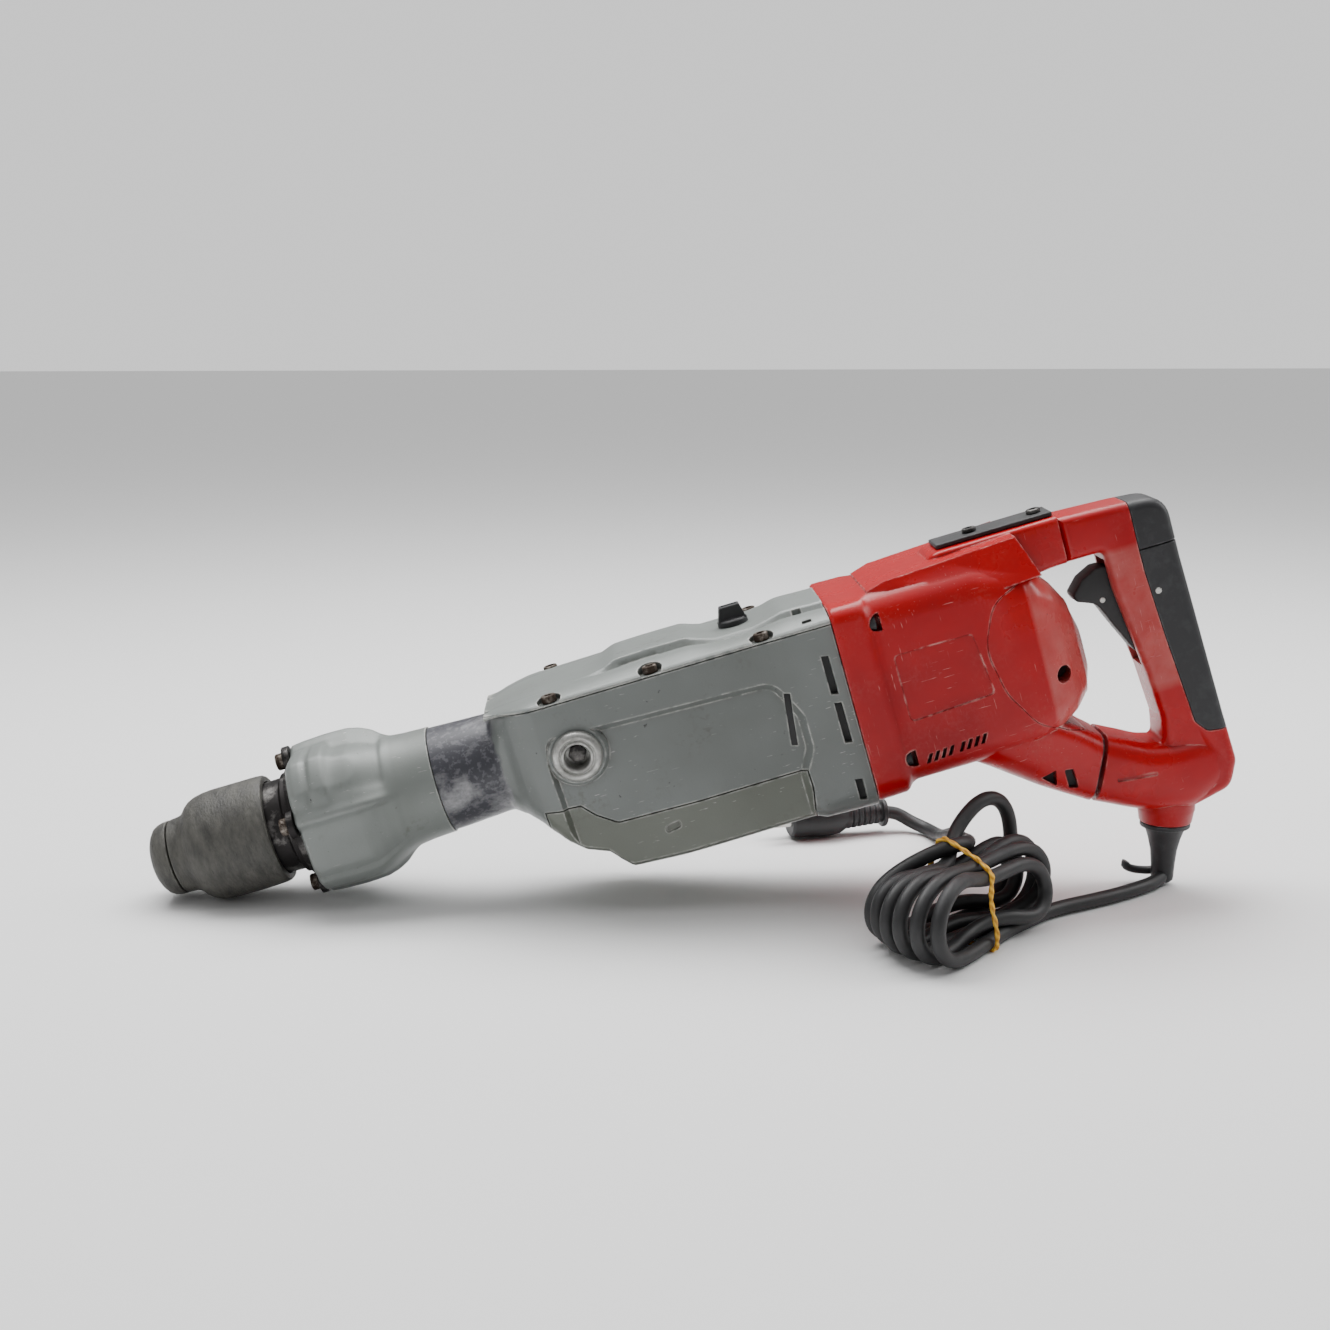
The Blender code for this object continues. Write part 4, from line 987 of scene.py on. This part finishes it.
def build_gearcase():
    case = upright_loft(CRANKCASE, 2.5)
    steps = [(CUT, block((212, -70, SEAM_U), (430, 70, 80))), (CUT, slab(LOWER_COVER_EDGE, -70, 70)),
             (CUT, rod(160, 80, 25.2, steps=48)), (CUT, block((232, -37.5, -39.5), (404, 37.5, 60))),
             (CUT, rod(400, 30, 14.1, (0, 0, MOTOR_U)))]
    steps += panel_cutters()
    for side, way in SIDES:
        base = turned([(36, 0), (36, 18.4), (44.6, 18.4), (46.4, 17.0), (47, 16.2), (47, 0)],
                      (BUSH[0], 0, BUSH[1]),
                      "y", 64, way)
        steps.append((JOIN, base))
        steps.append((CUT, rod(30, 30, 9.3, (BUSH[0], 0, BUSH[1]), "y", 48, way)))
        # Each vent slot gets a dark plate at its bottom that paints the shadow inside it.
        for number, (s, top, bottom) in enumerate(RING_VENTS):
            outline = [(s, top), (s + 4.2, top - 0.8), (s + 4.2, bottom - 0.8), (s, bottom)]
            steps.append(slot_with_shadow_plate(f"ring_vent_shadow_{side}_{number + 1}", outline, way, 47.5))
        # A shallow slot down the side panel; its black plate paints the shadow inside it.
        strip = [(382.4, 3.2), (385.9, 2.2), (382.4, -29.4), (378.9, -28.4)]
        steps.append(slot_with_shadow_plate("side_slot_shadow_" + side, strip, way, PANEL_Y, 1.1, "black_plastic"))
    for s in COVER_SCREW_S:
        for _, way in SIDES:
            steps.append((CUT, rod(-13, 20, 2.7, (s, way * COVER_SCREW_Y, COVER_SCREW_U), "u")))
    for _, place in long_screws():
        steps.append((CUT, rod(-34, 30, 2.9, place)))
    piece("gearcase_casting", combined(case, *steps), "neck_paint", "hammer", ("gearcase",), bevel=0.8,
          segments=3)
    dent = [(296, -54, 2), (305, -52.2, 2), (305, -56.6, 2), (296, -58, 2)]
    lower = combined(upright_loft(CRANKCASE, 2.5), (KEEP, slab(offset(LOWER_COVER_EDGE, SEAM_GAP), -70, 70)),
                     *panel_cutters(), (CUT, slab(dent, -60, -42)),
                     (CUT, block((278, -40, -69), (377, 40, -30))))
    piece("lower_cover_casting", lower, "olive_paint", "hammer", ("lower_cover",), bevel=0.6)
    for side, way in SIDES:
        bush = [(38, 0), (38, 9), (47.3, 9), (47.3, 14.2), (47.7, 14.7), (49.6, 14.8), (51.2, 14.3),
                (52.3, 13.3),
                (52.9, 12.0), (53, 11.3), (52.7, 10.6), (51.9, 10.2), (51.8, 9.6), (52.6, 9.1), (52.9, 8.6),
                (52.6, 7.8), (51.6, 7.2), (50, 7), (40, 7), (40, 0)]
        piece(f"side_boss_{side}", turned(bush, (BUSH[0], 0, BUSH[1]), "y", 72, way), "worn_alloy", "hammer",
              ("side_bush_" + side,))
        hexagon = rod(40.3, 3.2, 5.4, (BUSH[0], 0, BUSH[1]), "y", 6, way)
        piece(f"boss_socket_{side}", hexagon, "dark_steel")


# Rows of (s, half width, height of the side wall, shoulder's inner height, ridge height).
COVER = [(213, 30.4, 34.6, 34.8, 35.0), (219, 31.8, 35.2, 35.8, 36.0), (226, 38, 36.0, 37.2, 37.4),
         (233, 43, 36.6, 38.2, 38.3), (242, 46.5, 37.2, 39.0, 39.1), (249, 47, 37.4, 39.4, 39.5),
         (276, 47, 37.6, 40.4, 40.6), (284, 47, 37.6, 40.7, 41.8), (297, 47, 37.6, 41.3, 45.6),
         (316, 47, 37.6, 41.8, 46.0), (335, 47, 37.6, 42.0, 45.9), (345, 47, 37.6, 40.6, 43.0),
         (355, 47, 37.6, 39.2, 40.6), (374, 47, 37.6, 39.2, 40.6), (384, 47.3, 37.6, 40.4, 42.2),
         (396, 47.7, 37.6, 41.6, 44.6), (418.5, 48, 38.0, 41.2, 44.0)]


def cover_section(s):
    """The top cover's outline across the tool: side wall, sloping shoulder, groove and raised ridge."""
    half, wall, shoulder, ridge = between(COVER, s)
    foot = 28 * half / 47
    rise = max(0.0, ridge - shoulder)
    groove = min(1.1, 0.25 + rise * 0.5)
    side = [(half + 0.5, SEAM_U + SEAM_GAP), (half + 0.5, wall - 1.6), (half - 0.5, wall - 0.6),
            (half - 1.6, wall),
            ((half + foot) / 2, (wall + shoulder) / 2 + 0.3), (foot + 1.6, shoulder),
            (foot, shoulder - groove * 0.5),
            (foot - 1.3, shoulder - groove), (foot - 2.4, shoulder - groove * 0.3),
            (foot - 3.4, shoulder + rise * 0.55),
            (foot - 4.8, shoulder + rise * 0.92), (foot - 7, ridge), (foot * 0.4, ridge + 0.25)]
    return [(s, y, u) for y, u in side] + [(s, -y, u) for y, u in reversed(side)]


def build_top_cover():
    places = [213 + 2.3 * i for i in range(90)]
    body = rings_joined([cover_section(s) for s in places if s < 418.5] + [cover_section(418.5)])
    steps = [(CUT, slab([(236, 20), (236, 34.6), (262, 36), (300, 37.5), (414, 37.5), (414, 20)], -26, 26))]
    for index, s in enumerate(COVER_SCREW_S):
        for side, way in SIDES:
            name = f"cover_screw_{side}_{index + 1}"
            pocket = (s, way * (COVER_SCREW_Y + 2.4), 34.9)
            steps.append((CUT, rod(GAP, 14, 7.2, pocket, "u", 40)))
            steps.append((CUT, rod(-10, 20, 2.7, (s, way * COVER_SCREW_Y, COVER_SCREW_U), "u", 24)))
            screw(name, (s, way * COVER_SCREW_Y, 35.4), "u", 1, (4.3, 4.4, 2.5, 2.4, 1), "rusty_steel")
    for side, way in SIDES:
        for number, (s, y) in enumerate(((403.4, 41.0), (400.2, 24.4))):
            low, high = sorted((way * y, way * (y + 3.4)))
            steps.append((CUT, block((s, low, 37.2), (s + 5.4, high, 60))))
            # A dark plate under each slot paints the shadow inside it.
            piece(f"cover_slot_shadow_{side}_{number + 1}",
                  block((s - 0.4, low - 0.4, 36.6), (s + 5.8, high + 0.4, 37.8)),
                  "carbon")
    piece("top_cover_casting", combined(body, *steps), "grey_paint", "hammer", ("top_cover",), bevel=0.5)
    selector = turned([(0, 0), (0, 9), (2.6, 9), (3.4, 8.4), (3.8, 7.4), (3.8, 0)], (SELECTOR_S, 0, 41),
                      "u", 64)
    wing = slab([(358.6, 43.4), (361.2, 52.4, 1), (373.2, 52.4, 1), (375.4, 43.4)], -4.2, 4.2)
    shaped = combined(selector, (JOIN, wing), (CUT, block((362.6, -3, 51.9), (371.8, 3, 54))))
    piece("selector_knob", shaped, "black_plastic", "speed_selector", ("speed_selector",), bevel=0.5)


# ---- Red housings ----

def long_screws():
    for level, u in zip(("upper", "lower"), LONG_SCREW_U):
        for side, way in SIDES:
            yield f"housing_screw_{level}_{side}", (437, way * LONG_SCREW_Y, u)


# Rows of (s, low, high, half width, top radius, bottom radius).
DRUM = [(418.9, -75.5, 41.6, 50.6, 10, 14), (420.4, -76, 42.2, 51, 9, 14), (435.6, -75.5, 42, 51, 10, 14),
        (438.2, -74.8, 42.2, 50.2, 11, 15), (440.6, -72.8, 42.6, 48.4, 14, 16),
        (444.5, -71.6, 43, 47.4, 18, 16),
        (500, -72, 43, 47.5, 20, 18), (517, -71, 38, 47, 19, 18), (529, -68, 30.6, 45, 16, 17),
        (531.5, -67, 29, 43.4, 15, 17), (546, -62.5, 18.6, 32.4, 13, 14), (556, -56, 2.4, 21, 11, 12),
        (560.5, -47, -14, 12, 9, 10)]
COVER_SEAM = [(575, 21.5), (545.2, 21.3), (532, 26.2, 20), (510, 20, 20), (499.5, -6, 30), (505, -34, 30),
              (518, -56, 20), (537, -69.5, 20), (556, -79), (575, -79)]


# Rows of (s, u) at the foot, (s, u) at the edge, half width at the foot, half width at the edge.
SHOULDER = [(444, 24, 444, 43.5, 46.3, 33), (455, 24, 455, 46.5, 46.6, 34), (490, 24, 490, 48, 46.6, 34),
            (541, 26.5, 533.5, 50, 45, 34)]


def red_arms():
    """The upper arm, the lower arm and the shoulder that leans in from the drum's side to the upper arm."""
    upper = upright_loft([(470, 10, 40, 14, 4, 4), (484, 14, 47.5, 18, 5, 4), (488.5, 16, 50.6, 19.6, 4, 4),
                          (492, 18, 51, 20, 3, 5), (530, 20, 51, 19.5, 3, 5),
                          (562.3, 22.6, 51, 18.5, 4, 5)], 4)
    knots = [((470, -66), (496, -40), 40, 10, 16), ((484, -76), (515, -50), 43, 10, 18),
             ((499.5, -89), (533, -62), 38, 12, 18), ((513, -100.5), (546, -73), 32, 12, 16),
             ((541, -120.5), (557.8, -83), 25, 12, 14)]
    shoulder = rings_joined([[(low_s, foot, low_u), (high_s, brow, high_u), (high_s, -brow, high_u),
                              (low_s, -foot, low_u)] for low_s, low_u, high_s, high_u, foot,
                              brow in SHOULDER])
    return (JOIN, upper), (JOIN, leaning_loft(knots, 32)), (JOIN, shoulder)


def motor_space():
    """The hollow for the motor and its rear bearing."""
    return turned([(400, 0), (400, 43), (515, 43), (515, 11.1), (526, 11.1), (526, 0)], (0, 0, MOTOR_U),
                  steps=48)


def build_red_housings():
    motor = [*red_arms(), (CUT, slab(offset(COVER_SEAM, GAP), -80, 80)), (CUT, motor_space())]
    for side, way in SIDES:
        badge = [(447.5, 6.8, 4), (494.6, 6.4, 4), (499.0, -32, 4), (447.5, -34.4, 4)]
        motor.append((CUT, tapered_slab(badge, way * 49, way * 46.85, 0.5)))
        # Each air slot gets a dark plate at its bottom that paints the shadow inside it.
        for number in range(8):
            s = 450.4 + number * 4.35 + (2.4 if number > 3 else 0)
            u = -60.6 + number * 0.34
            lean = 2.8
            outline = [(s, u), (s + 2.3, u), (s + 2.3 + lean, u + 5.6), (s + lean, u + 5.6)]
            motor.append(slot_with_shadow_plate(f"air_slot_shadow_{side}_{number + 1}", outline, way, 46.4))
        triangle = [(514.6, -93.4, 0.8), (523.6, -90.6, 0.8), (523.0, -102.4, 0.8)]
        window = [(528.6, -92.6, 1), (534.2, -93.8, 1), (535.2, -107.2, 1), (529.8, -105.6, 1)]
        # The triangle and window in the lower arm get dark plates that paint the shadow inside them.
        for name, outline in (("arm_triangle_shadow", triangle), ("arm_window_shadow", window)):
            motor.append(slot_with_shadow_plate(f"{name}_{side}", outline, way, 29, 9))
    for name, place in long_screws():
        motor.append((CUT, rod(0, 9, 5.9, place)))
        motor.append((CUT, rod(-30, 40, 2.9, place)))
        screw(name, (place[0] + GAP, *place[1:]), "s", 1, (4.4, 6, 2.6, 2.5, 4), "black_plastic")
    pivot_s, pivot_u = HANDLE_PIVOT
    motor += [(CUT, block((545, -9, 26), (580, 9, 44))),
              (CUT, rod(-17.8, 35.6, 3.3, (pivot_s, 0, pivot_u), "y", 32))]
    for number, s in enumerate(PLATE_SCREW_S):
        motor.append((CUT, rod(-9, 20, 2.2, (s, 0, PLATE_SCREW_U), "u", 24)))
        screw(f"plate_screw_{number + 1}", (s, 0, PLATE_SCREW_U), "u", 1, (4.2, 2.2, 2.3, 1.8, 4),
              "dark_steel")
    body = upright_loft(DRUM, 3)
    piece("motor_shell", combined(body, *motor), "red_plastic", "hammer", ("motor_housing",), bevel=0.9,
          segments=3)
    rear = [*red_arms(), (KEEP, slab(COVER_SEAM, -80, 80)), (CUT, motor_space())]
    for side, way in SIDES:
        hole_at = (REAR_SCREW[0], 0, REAR_SCREW[1])
        rear.append((CUT, rod(20, 60, 5, hole_at, "y", 40, way)))
        piece(f"rear_hole_shadow_{side}", rod(19.4, 1, 5.3, hole_at, "y", 32, way), "carbon")
    piece("rear_cover_shell", combined(upright_loft(DRUM, 3), *rear), "red_plastic", "hammer",
          ("rear_cover",), bevel=0.7, segments=3)
    strip = block((491.5, -12, 51.3), (561.5, 12, 53.9))
    holes = [(CUT, rod(-9, 20, 2.2, (s, 0, PLATE_SCREW_U), "u", 24)) for s in PLATE_SCREW_S]
    piece("plate_strip", combined(strip, *holes), "black_plastic", "hammer", ("top_plate",), bevel=0.7,
          segments=3)


# ---- Handle ----

HANDLE_EDGE = [(563, 22.6), (563, 49.3), (600, 47.4, 20), (627, 45, 15), (627.4, 8, 20), (631, -90, 20),
               (632.6, -122, 10), (626, -137, 12), (600, -143, 20), (572, -135), (546, -121.5), (562, -86.5),
               (573, -92.5, 10), (592.5, -100, 5), (594.8, -84, 5), (592.5, -55, 20), (585, 0, 20),
               (584.5, 22.6, 4)]
GRIP_SEAM = [(604.4, 17.8), (604.7, 4, 10), (607.6, -35), (611.6, -76), (613, -91, 6), (619, -98.5, 6),
             (650, -103)]


def soft_outline(points, half_width, soften, layers=7):
    """A slab whose two faces curve in at their rims by soften, as a moulded grip does."""
    outline = rounded(points, 7)
    turn = 1 if area([tuple(p) for p in outline]) > 0 else -1
    rings = []
    for layer in range(layers * 2):
        first_half = layer < layers
        step = (layer if first_half else 2 * layers - 1 - layer) / (layers - 1)
        inward = soften * (1 - math.sin(step * math.pi / 2))
        y = half_width - soften * (1 - math.cos(step * math.pi / 2))
        ring = [Vector(p) for p in offset([tuple(p) for p in outline], -turn * inward)]
        rings.append([(p.x, -y if first_half else y, p.y) for p in ring])
    return rings_joined(rings)


def build_handle():
    knots = [((543.9, -121.7), (560.6, -84.3), 25, 12, 14), ((556, -128.5), (573, -91), 25, 12, 16),
             ((575, -138), (586, -97.5), 24.5, 12, 18), ((600, -144.5), (600, -100.6), 22.5, 12, 18),
             ((618, -139.5), (615, -101.5), 19, 12, 16), ((630, -127), (627, -107), 13, 9, 9)]
    pivot_s, pivot_u = HANDLE_PIVOT
    black_side = [(604.3, 90)] + GRIP_SEAM + [(650, 90)]
    steps = [(JOIN, leaning_loft(knots, 40)), (JOIN, block((547.5, -8, 28.5), (570, 8, 41.5))),
             (CUT, rod(-40, 80, 3.2, (pivot_s, 0, pivot_u), "y")),
             (CUT, slab(offset(black_side, GAP), -60, 60)),
             (CUT, slab([(572, 17.2), (602, 17.2), (604.3, -49), (588, -51), (580, -20)], -9.4, 9.4)),
             (CUT, block((586, -12, 15), (601.7, 12, 42)))]
    for _, way in SIDES:
        mark = [(558.4, -108.6, 1), (583, -111.8, 1), (583, -114.2, 1), (558.4, -111.2, 1)]
        steps.append((CUT, tapered_slab(mark, way * 27, way * 24.2, 0.3)))
    body = combined(soft_outline(HANDLE_EDGE, 17, 5.5), *steps)
    upright_in_tool = TOOL.inverted() @ Matrix.Translation((SOCKET_X * MM, 0, 0))
    recess = revolve([(30.2, 0), (30.2, 17.6), (56.4, 17.6), (56.4, 0)], 48)
    bmesh.ops.scale(recess, verts=recess.verts, vec=(MM, MM, MM))
    bmesh.ops.transform(recess, matrix=upright_in_tool, verts=recess.verts)
    bmesh.ops.scale(recess, verts=recess.verts, vec=(1 / MM, 1 / MM, 1 / MM))
    piece("handle_shell", combined(body, (CUT, recess)), "red_plastic", "handle", ("handle",), bevel=0.5)
    cap = combined(soft_outline(HANDLE_EDGE, 17, 5.5),
                   (KEEP, slab([(604.4, 90), (604.4, 18.4), (650, 18.4), (650, 90)], -60, 60)))
    piece("handle_end_cap", cap, "black_rubber", "handle", ("handle_cap",), bevel=0.5)
    grip = combined(soft_outline(HANDLE_EDGE, 17, 5.5), (KEEP, slab(GRIP_SEAM + [(650, 17.8)], -60, 60)))
    piece("grip_cover", grip, "black_rubber", "handle", ("grip_overmould",), bevel=0.5)
    edge = [(583.5, 13.2, 2), (579, 13.4, 2), (569.7, 8.9, 2), (562.3, 1, 3), (564, -3.2, 2),
            (575, -7.6, 10),
            (582, -23.5, 10), (590.5, -41.5, 2), (596.5, -42.5, 2), (594.5, 8, 3)]
    piece("trigger_lever", soft_outline(edge, 8.6, 1.2, 4), "black_plastic", "trigger", ("trigger",))
    for side, way in SIDES:
        at = (TRIGGER_PIVOT[0], 0, TRIGGER_PIVOT[1])
        piece(f"trigger_pin_{side}", rod(8.3, 0.6, 1.7, at, "y", 24, way), "bright_steel", "trigger", (),
              bevel=0.2)
        piece(f"grip_pin_{side}", rod(16.4, 0.9, 1.9, (609.8, 0, -8), "y", 24, way), "bright_steel",
              "handle", (),
              bevel=0.2)


# ---- Put together ----

def dress_cad_nodes():
    """Every CAD node that still shows gets its material."""
    slots = {row["node"]: row["material_slot"] for row in frame["record"]["subparts"]}
    for name, node in frame["nodes"].items():
        node.data.materials.clear()
        node.data.materials.append(LOOKS[slots[name]])


add_camera()
LOOKS = make_looks()
add_stage()
build_cord()
dress_cad_nodes()
build_chuck()
build_sleeve_spring()
build_barrel()
build_gearcase()
build_top_cover()
build_red_housings()
build_handle()
